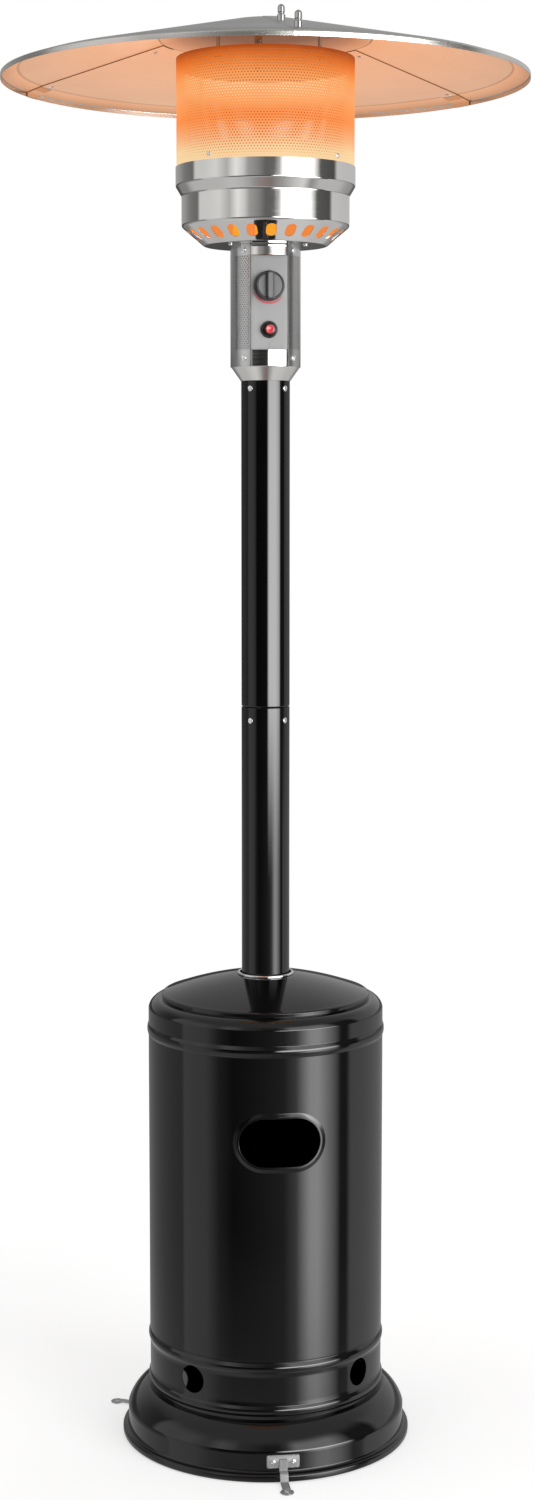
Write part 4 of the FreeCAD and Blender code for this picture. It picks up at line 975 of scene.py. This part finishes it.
# A round wire carried along a helix round Y, (R sin a, y + rise a, R cos a), whose section
# stands in the plane of Y and the radius
def buildSprings():
    for name, joint in spring["joints"].items():
        low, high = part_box(name + "_spring")
        wire, front, middle = spring["wire"], low.y + spring["gap"], (low.z + high.z) / 2
        length = high.y - front
        radius = (high.z - low.z) / 2 - wire
        share = np.linspace(0, 1, spring["turns"] * spring["steps"] + 1)[:, None]
        turn = 2 * math.pi * spring["turns"] * share
        across = np.radians(np.arange(0, 360, 36))[None]
        out = radius + wire * np.cos(across)
        y = front + wire + (length - 2 * wire) * share + wire * np.sin(across)
        rings = np.stack([out * np.sin(turn), y, middle + out * np.cos(turn)], axis=-1)
        coil = makePiece(name + "Spring", [stackRings(rings)], [bareSteel], "root", name + "_spring",
                         sharp=60)
        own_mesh(coil)


# A printed line: a strip of changing half width along a path on the panel
def printedLine(path, halfWidth, front):
    path = np.asarray(path, float)
    run = np.gradient(path, axis=0)
    run /= np.linalg.norm(run, axis=1)[:, None]
    side = np.stack([-run[:, 1], run[:, 0]], axis=1) * np.broadcast_to(halfWidth, len(path))[:, None]
    flat = np.stack([path + side, path - side], axis=1).reshape(-1, 2)
    skins = [np.stack([flat[:, 0], np.full(len(flat), front - lift), flat[:, 1]], axis=1)
             for lift in (dial["ink"], 0)]
    return thicken(*skins, gridFaces(len(path), 2))


dial = {"radius": 0.0258, "start": 128, "end": 250, "halfWidth": 0.0014, "tickHalfWidth": 0.00035,
        "ink": 0.00015,
        "tickEnds": (0.0255, 0.0278), "tickAngles": (0, 60, 90, 300),
        "spark": [(0.0014, -0.0195), (-0.0012, -0.0232), (0.0012, -0.0232), (-0.0014, -0.0272)]}


def buildDialMarks():
    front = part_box("control_panel")[0].y
    low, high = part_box("control_knob")
    middle = (low.z + high.z) / 2
    share = np.linspace(0, 1, 49)
    clock = np.radians(dial["start"] + (dial["end"] - dial["start"]) * share)
    arc = np.stack([dial["radius"] * np.sin(clock), middle + dial["radius"] * np.cos(clock)], axis=1)
    crescent = printedLine(arc, dial["halfWidth"] * np.sin(math.pi * share) ** 0.5 + 0.00005, front)
    makePiece("dialCrescent", [crescent], [redPrint], "root")
    ticks = []
    for turn in np.radians(dial["tickAngles"]):
        out = np.array([math.sin(turn), math.cos(turn)])
        tick = np.array(dial["tickEnds"])[:, None] * out + (0, middle)
        ticks.append(printedLine(tick, dial["tickHalfWidth"], front))
    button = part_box("igniter_button")
    spark = np.array(dial["spark"])
    spark[:, 1] += (button[0].z + button[1].z) / 2
    ticks.append(printedLine(spark, dial["tickHalfWidth"], front))
    makePiece("dialTicks", ticks, [greyPrint], "root")


burnerCup = {"sheet": 0.0012, "opening": 0.034, "floorRadius": 0.0955, "coneRise": 0.0292,
             "bandRadius": 0.130, "bandHeight": 0.046, "stepRise": 0.015, "slotCount": 24,
             "slotPhase": -2.4, "slotWidth": 0.0165, "slotLength": 0.026, "fillet": 0.006,
             "screwCircle": 0.067, "screwAngles": (60, 180, 300), "screw": (0.0036, 0.002, 0.002, 0.004),
             "window": {"tall": 0.0155, "wide": 0, "cells": 10, "rows": 10, "between": 0, "rings": 2}}


def buildCup():
    low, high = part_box("burner_cup")
    base, top, outer = low.z, high.z, high.x
    coneTop = base + burnerCup["coneRise"]
    bandTop = coneTop + burnerCup["bandHeight"]
    corners = [(burnerCup["opening"], base), (burnerCup["floorRadius"], base),
               (burnerCup["bandRadius"], coneTop), (burnerCup["bandRadius"], bandTop),
               (outer, bandTop + burnerCup["stepRise"]), (outer, top)]
    line = rounded(corners, burnerCup["fillet"], 6)
    lengths = np.concatenate([[0], np.cumsum(np.linalg.norm(np.diff(line, axis=0), axis=1))])
    coneMiddle = np.array([(burnerCup["floorRadius"] + burnerCup["bandRadius"]) / 2, (base + coneTop) / 2])
    onCone = int(np.argmax((line[:, 0] > coneMiddle[0])))
    middle = lengths[onCone] - np.linalg.norm(line[onCone] - coneMiddle)
    phase = burnerCup["slotPhase"]
    half = (burnerCup["slotLength"] - burnerCup["slotWidth"]) / 2
    hole = {"angles": [phase + 360 * k / burnerCup["slotCount"] for k in range(burnerCup["slotCount"])],
            "middle": middle, **burnerCup["window"]}
    points, faces = holedWall(line, burnerCup["sheet"], hole,
                              lambda turn: longHoleReach(turn, half, burnerCup["slotWidth"] / 2, True))
    # Slot 1, the cup's inner skin, is painted light, the screen's glow as emission
    inner = np.all(faces >= len(points) // 2, axis=1).astype(int)
    makePiece("burnerCup", [(points, faces, inner)], [polishedStainless, paintedGlowCup], "root", "burner_cup")
    screw = panScrew(*burnerCup["screw"])
    parts = []
    for angle in burnerCup["screwAngles"]:
        x, y = aroundPost(math.radians(angle), burnerCup["screwCircle"], 0)[:2]
        parts.append(placed(screw, (x, y, base - hair), (1, 0, 0), (0, -1, 0), (0, 0, -1)))
    makePiece("cupScrews", parts, [chrome], "root", "cup_screws")


emitter = {"sheet": 0.0008, "columns": 180, "rowStep": 0.00416, "holeRadius": 0.0014,
           "backHoleRadius": 0.0009, "hem": 0.004, "hemLap": 0.002, "hemInset": 0.0002, "capSheet": 0.001,
           "capBore": 0.005, "capFillet": 0.003}


def buildScreen():
    low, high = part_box("emitter_screen")
    radius, sheet = high.x, emitter["sheet"]
    pitch = 2 * math.pi * radius / emitter["columns"]
    rows = int((high.z - low.z - emitter["hem"]) / emitter["rowStep"])
    half = emitter["columns"] // 2
    sides = (("Front", -math.pi / 2, emitter["holeRadius"]), ("Back", math.pi / 2, emitter["backHoleRadius"]))
    for side, start, holeRadius in sides:
        points, faces, count = perforated(radius - hair, sheet, start, half, pitch,
                                          low.z + emitter["hem"], rows, emitter["rowStep"], holeRadius)
        slots = np.zeros(len(faces), int)
        slots[count:2 * count] = 1
        parts = [(points, faces, slots)]
        angles = start + np.linspace(0, math.pi, 91)
        hem, lap = emitter["hem"], emitter["hemLap"]
        hems = ((low.z, low.z + hem + lap), (high.z - hem - lap, high.z))
        for bottom, top in hems:
            inner = radius - sheet - emitter["hemInset"]
            loop = rounded([(inner, bottom), (radius, bottom), (radius, top), (inner, top)], 0.0003, 2, True)
            rings = aroundPost(angles[:, None], loop[None, :, 0], loop[None, :, 1])
            parts.append(stackRings(rings))
        makePiece("emitterScreen" + side, parts, [glowingMesh, glowingInside], "root", "emitter_screen")


def buildEmitterCap():
    low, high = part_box("emitter_cap")
    line = rounded([(high.x, low.z), (high.x, high.z), (emitter["capBore"], high.z)], emitter["capFillet"], 5)
    # The emitter cap's emission is painted light, the screen's glow reflected on it
    makePiece("emitterCap", [spin(sheetLoop(line, emitter["capSheet"]), 144)], [paintedGlowUnderside], "root",
              "emitter_cap")


reflector = {"sheet": 0.0008, "lip": 0.0075, "brimWidth": 0.0265, "brimPitch": 17.5, "flat": 0.060,
             "hole": 0.040, "plateRadius": 0.1636, "plateSheet": 0.0012, "lap": 0.0165, "gap": 0.0002,
             "step": 0.0007, "stepSide": 0.011,
             "seams": (0, 120, 240), "lipRound": 0.0022, "innerBolt": 0.189, "outerBolt": 0.374,
             "innerNut": 0.022, "outerNut": 0.022, "nut": 0.0062, "neck": 0.0053, "neckHeight": 0.009,
             "bolt": (0.0046, 0.0024, 0.0025, 0.006), "centreHole": 0.005, "run": 0.02, "sink": 0.0002}


def reflectorLine():
    high = max(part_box("reflector_panel_%d" % k)[1].z for k in (1, 2, 3))
    low = min(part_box("reflector_panel_%d" % k)[0].z for k in (1, 2, 3))
    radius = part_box("reflector_panel_2")[1].x
    radius = max(radius, (cadBox[1][0] - cadBox[0][0]) / 2)
    brim = radius - reflector["brimWidth"]
    rise = reflector["brimWidth"] * math.tan(math.radians(reflector["brimPitch"]))
    return rounded([(radius - 0.0004, low), (radius, low + reflector["lip"]),
                    (brim, low + reflector["lip"] + rise), (reflector["flat"], high),
                    (reflector["hole"], high)], reflector["lipRound"], 5)


def heightOn(line, radius):
    order = np.argsort(line[:, 0])
    return float(np.interp(radius, line[order, 0], line[order, 1]))


# One panel: its rows follow the profile, and its columns run between two lines that
# stand beside the seams, at asin(side / radius) from them; its last columns are one
# step higher, where it laps over its neighbour
def panelParts(angle, line):
    sheet, lap, step = reflector["sheet"], reflector["lap"], reflector["step"]
    share = np.linspace(0, 1, 58)[:, None]
    beside = np.array([-reflector["stepSide"], 0.003, lap - reflector["gap"]])[:, None]
    skins = []
    for side, raised in ((line, moved(line, -step)), (moved(line, sheet), moved(line, sheet - step))):
        first = math.radians(angle) + np.arcsin(lap / side[:, 0])
        last = math.radians(angle + 120) + np.arcsin(-(reflector["stepSide"] + 0.0008) / side[:, 0])
        lifted = math.radians(angle + 120) + np.arcsin(beside / raised[:, 0])
        skins.append(np.concatenate([aroundPost(first * (1 - share) + last * share, side[:, 0], side[:, 1]),
                                     aroundPost(lifted, raised[:, 0], raised[:, 1])]).reshape(-1, 3))
    points, faces = thicken(*skins, gridFaces(len(share) + len(beside), len(line)))
    count = (len(share) + len(beside) - 1) * (len(line) - 1)
    slots = np.zeros(len(faces), int)
    # Slot 1, the inner skin, paints the screen's glow reflected on the underside as emission
    slots[count:2 * count] = 1
    middle = points[faces].mean(axis=1)
    outermost = np.hypot(middle[:, 0], middle[:, 1]) > line[:, 0].max() - reflector["lipRound"]
    slots[outermost] = 2
    return points, faces, slots


# The strip of a panel that laps under its neighbour. Its edge faces take slot 3, a dark brown that paints the
# shadow line along the seam
def lapStrip(angle, line):
    sheet, lap = reflector["sheet"], reflector["lap"]
    under = moved(line, sheet)
    keep = under[:, 0] > reflector["plateRadius"] + 0.001
    inner = reflector["plateRadius"] + 0.0012
    under = np.vstack([under[keep], [(inner, heightOn(under, inner))]])
    side = np.linspace(-lap, lap + 0.004, 9)
    skins = []
    for face in (under, moved(under, 2 * sheet)):
        turn = math.radians(angle) + np.arcsin(side[:, None] / face[None, :, 0])
        skins.append(aroundPost(turn, face[None, :, 0], face[None, :, 1]).reshape(-1, 3))
    points, faces = thicken(*skins, gridFaces(len(side), len(under)))
    # Slot 1, on both faces of the strip, paints the screen's glow reflected on it as emission
    slots = np.where(np.arange(len(faces)) < 2 * (len(side) - 1) * (len(under) - 1), 1, 3)
    return points, faces, slots


def buildReflector():
    line = reflectorLine()
    steps = [line[0]]
    for start, end in zip(line[:-1], line[1:]):
        count = max(1, int(np.linalg.norm(end - start) / reflector["run"]))
        steps += [start + (end - start) * k / count for k in range(1, count + 1)]
    fine = np.array(steps)
    for number, angle in enumerate(reflector["seams"]):
        # Slot 1, the underside, is painted light, the screen's glow reflected; slot 3 is painted shade, the
        # dark line along the seams
        makePiece("reflectorPanel%d" % (number + 1), [panelParts(angle, fine), lapStrip(angle, fine)],
                  [aluminium, paintedGlowUnderside, polishedLip, paintedSeamShadow], "root",
                  "reflector_panel_%d" % (number + 1),
                  sharp=25)
    under = moved(line, reflector["sheet"])
    edge = reflector["plateRadius"]
    plate = np.vstack([[(edge, heightOn(under, edge))], under[under[:, 0] < edge - 0.002][:-1],
                       [(reflector["centreHole"], under[-1, 1])]])
    # The crown plate's emission is painted light, the screen's glow reflected on it
    makePiece("crownPlate", [(*spin(sheetLoop(plate, reflector["plateSheet"]), 144), 0)], [paintedGlowUnderside],
              "root", "crown_plate")
    nuts, bolts = [], []
    for radius, height in ((reflector["innerBolt"], reflector["innerNut"]),
                           (reflector["outerBolt"], reflector["outerNut"])):
        base = heightOn(line, radius + reflector["nut"]) - reflector["sink"]
        top = heightOn(line, radius - reflector["nut"]) + height
        dome = [(reflector["neck"] * math.cos(t), top - reflector["neck"] + reflector["neck"] * math.sin(t))
                for t in np.radians(np.linspace(0, 90, 9))]
        waist = top - reflector["neck"] - reflector["neckHeight"]
        body = rounded([(0, base), (reflector["nut"], base), (reflector["nut"], waist - 0.0012),
                        (reflector["neck"] - 0.0009, waist), (reflector["neck"] - 0.0009, waist + 0.0015),
                        (reflector["neck"], waist + 0.0028), dome[0]], 0.0008, 4)
        profile = np.vstack([body, dome[1:-1], [(0, top)]])
        boltHead = panScrew(*reflector["bolt"])
        for angle in reflector["seams"]:
            x, y = aroundPost(math.radians(angle), radius, 0)[:2]
            nutPoints, nutFaces = spin(profile, 48, False)
            nuts.append((nutPoints + (x, y, 0), nutFaces))
            low = heightOn(moved(line, 2 * reflector["sheet"]), radius)
            bolts.append(placed(boltHead, (x, y, low), (1, 0, 0), (0, -1, 0), (0, 0, -1)))
    makePiece("capNuts", nuts, [nickelPlate], "root", "cap_nuts")
    makePiece("seamBolts", bolts, [chrome], "root", "seam_bolts")


finishes = {
    "satinBlack": ["support_leg_right", "support_leg_back", "support_leg_left", "post_bracket"],
    "zincPlate": ["leg_bolts", "bracket_bolts", "reflector_studs", "stud_nuts"],
    "bareSteel": ["valve_spindle", "spindle_collar"],
    # The burner bracket and venturi tube take the cup's painted glow light
    "glowingInside": ["screen_collar"],
    "paintedGlowCup": ["burner_bracket", "venturi_tube"],
    "gasBrass": ["gas_pipe", "gas_inlet", "valve_body", "gas_jet"],
    "switchPlastic": ["tilt_switch"],
    "whiteCeramic": ["spark_electrode"],
    "hotBurner": ["burner_head", "pilot_burner", "thermocouple"]}


def dressNodes():
    for finish, nodes in finishes.items():
        for node in nodes:
            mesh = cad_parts[node].data
            mesh.materials.clear()
            mesh.materials.append(bpy.data.materials[finish])


studio = {"cameraDistance": 3.867, "cameraHeight": 1.5395, "cameraAngle": -7.0, "cameraPitch": 6.316,
          "lens": 58.9, "sideStep": 0.0008, "floorRadius": 3.6, "floorFade": 1.6, "brightest": 12.0}

# Brightness of the studio's walls by azimuth from the camera, positive to the right:
# below eye level, at eye level and above it
lowWall = [(-180, 0.2), (-145, 0.3), (-112, 0.34), (-90, 0.36), (-86, 0.73), (-60, 0.70), (-46, 0.2),
           (-32, 0.05), (-16, 0.08), (0, 0.13), (18, 0.22), (30, 0.8), (44, 4.6), (52, 4.8), (62, 2.9),
           (72, 1.2), (78, 0.12), (86, 0.10), (92, 0.78), (112, 0.63), (144, 0.4), (180, 0.25)]
eyeWall = [(-180, 0.06), (-140, 0.12), (-125, 0.22), (-92, 0.25), (-88, 0.7), (-62, 0.68), (-50, 0.45),
           (-42, 0.02), (-12, 0.02), (8, 0.04), (15, 8.8), (20, 10.6), (48, 10.6), (62, 8.0), (70, 5.4),
           (75, 0.10), (96, 0.03), (104, 0.45), (128, 0.38), (150, 0.2), (180, 0.08)]
highWall = [(-180, 0.45), (-144, 0.40), (-126, 0.26), (-106, 0.20), (-101, 0.85), (-84, 0.85), (-66, 0.95),
            (-50, 0.62), (-44, 0.9), (-38, 1.15), (-28, 0.85), (-22, 0.48), (-10, 0.34), (0, 0.17),
            (11, 0.17), (18, 0.6), (26, 2.6), (56, 2.8), (64, 1.6), (74, 0.14), (98, 0.10), (104, 0.78),
            (130, 0.7), (160, 0.6), (180, 0.5)]
floorWall = [(-180, 0.6), (-60, 0.68), (-20, 0.62), (8, 0.42), (30, 0.35), (48, 0.75), (64, 1.05), (76, 0.4),
             (90, 0.7), (180, 0.6)]
underWall = [(-180, 0.6), (-100, 0.75), (-60, 0.85), (-36, 0.6), (-18, 0.34), (-6, (0.34, 0.25, 0.24)),
             (10, (0.28, 0.21, 0.20)), (22, 0.4), (50, 0.8), (100, 0.85), (180, 0.65)]
overhead = 0.5


def wallRamp(tree, place, stops):
    ramp = addNode(tree, "ShaderNodeValToRGB", {"Fac": place})
    levels = [np.broadcast_to(np.divide(level, studio["brightest"]), 3).tolist() for _, level in stops]
    fillRamp(ramp.color_ramp, [((azimuth + 180) / 360, level) for (azimuth, _), level in zip(stops, levels)])
    return ramp.outputs[0]


def blendLevels(tree, share, first, second):
    mix = addNode(tree, "ShaderNodeMix", data_type="RGBA")
    tree.links.new(share, mix.inputs["Factor"])
    colours = [socket for socket in mix.inputs if socket.type == "RGBA"]
    for socket, value in zip(colours, (first, second)):
        if isinstance(value, bpy.types.NodeSocket):
            tree.links.new(value, socket)
        else:
            socket.default_value = value
    return [out for out in mix.outputs if out.type == "RGBA"][0]


def riseBetween(tree, height, low, high):
    return addNode(tree, "ShaderNodeMapRange", {
        "Value": height, "From Min": math.sin(math.radians(low)), "From Max": math.sin(math.radians(high))},
        interpolation_type="SMOOTHSTEP").outputs[0]


# The world: white behind the object, soft light walls for everything that it lights
def buildWorld():
    world = bpy.data.worlds.new("studio")
    bpy.context.scene.world = world
    world.use_nodes = True
    tree = world.node_tree
    tree.nodes.clear()
    direction = addNode(tree, "ShaderNodeTexCoord").outputs["Generated"]
    axes = addNode(tree, "ShaderNodeSeparateXYZ", {0: direction}).outputs
    toBack = addNode(tree, "ShaderNodeMath", {0: axes["Y"], 1: -1.0}, operation="MULTIPLY")
    angle = addNode(tree, "ShaderNodeMath", {0: axes["X"], 1: toBack.outputs[0]}, operation="ARCTAN2")
    turn = addNode(tree, "ShaderNodeMath", {
        0: angle.outputs[0], 1: 0.5 / math.pi, 2: 0.5 - studio["cameraAngle"] / 360},
                   operation="MULTIPLY_ADD")
    place = addNode(tree, "ShaderNodeMath", {0: turn.outputs[0]}, operation="FRACT").outputs[0]
    ramps = [wallRamp(tree, place, stops) for stops in (underWall, floorWall, lowWall, eyeWall, highWall)]
    under, floor, low, eye, high = ramps
    walls = blendLevels(tree, riseBetween(tree, axes["Z"], -60, -42), under, floor)
    walls = blendLevels(tree, riseBetween(tree, axes["Z"], -27, -17), walls, low)
    walls = blendLevels(tree, riseBetween(tree, axes["Z"], -9.5, -4.5), walls, eye)
    walls = blendLevels(tree, riseBetween(tree, axes["Z"], 2, 5), walls, high)
    level = overhead / studio["brightest"]
    walls = blendLevels(tree, riseBetween(tree, axes["Z"], 28, 50), walls, (level, level, level, 1))
    lit = addNode(tree, "ShaderNodeBackground", {"Color": walls, "Strength": studio["brightest"]})
    seen = addNode(tree, "ShaderNodeBackground", {"Color": (1, 1, 1, 1), "Strength": 1.0})
    path = addNode(tree, "ShaderNodeLightPath")
    mix = addNode(tree, "ShaderNodeMixShader", {
        0: path.outputs["Is Camera Ray"], 1: lit.outputs[0], 2: seen.outputs[0]})
    out = addNode(tree, "ShaderNodeOutputWorld")
    tree.links.new(mix.outputs[0], out.inputs["Surface"])


# A pale round floor that fades out into the background
def buildFloor():
    material, tree, shader = startMaterial("paleFloor", {
        "Roughness": 0.9, "Specular IOR Level": 0.1, "Emission Color": (1, 1, 1, 1),
        "Emission Strength": 0.5})
    place = objectPlace(tree)
    share = useGroup(tree, toneDrift, {"Vector": place, "Scale": 2.0})
    tree.links.new(mixTints(tree, share, (0.86, 0.86, 0.86), (0.9, 0.9, 0.9)), shader.inputs["Base Color"])
    far = addNode(tree, "ShaderNodeVectorMath", {0: place}, operation="LENGTH").outputs["Value"]
    fade = addNode(tree, "ShaderNodeMapRange", {
        "Value": far, "From Min": studio["floorFade"], "From Max": studio["floorRadius"] - 0.1,
        "To Min": 1.0, "To Max": 0.0})
    tree.links.new(fade.outputs[0], shader.inputs["Alpha"])
    radii = np.linspace(0, 1, 25) ** 1.5 * studio["floorRadius"]
    points, faces = spin(np.stack([radii, np.full(25, -0.0005)], axis=1), 64, False)
    mesh = bpy.data.meshes.new("floor")
    mesh.from_pydata(points.tolist(), [], faces[:, ::-1].tolist())
    mesh.materials.append(material)
    floor = bpy.data.objects.new("floor", mesh)
    bpy.context.scene.collection.objects.link(floor)
    floor.visible_glossy = False


def buildCamera():
    data = bpy.data.cameras.new("frontCamera")
    camera = bpy.data.objects.new("frontCamera", data)
    bpy.context.scene.collection.objects.link(camera)
    bpy.context.scene.camera = camera
    data.lens = studio["lens"]
    data.sensor_width = 36.0
    turn = math.radians(studio["cameraAngle"])
    camera.location = (studio["cameraDistance"] * math.sin(turn), -studio["cameraDistance"] * math.cos(turn),
                       studio["cameraHeight"])
    camera.rotation_euler = (math.radians(90 - studio["cameraPitch"]), 0, turn - studio["sideStep"])


buildCamera()
buildBasePan()
buildVentRing()
buildAnchors()
print("base done")
buildCoverShell()
buildHandHoleRims()
buildCoverTop()
print("tank cover done")
buildPosts()
buildHeadShells()
buildGuards()
buildPanel()
buildKnob()
buildIgniter()
buildSprings()
buildDialMarks()
print("post and head done")
buildCup()
buildScreen()
buildEmitterCap()
buildReflector()
buildScrews()
print("burner and reflector done")
dressNodes()
buildWorld()
buildFloor()
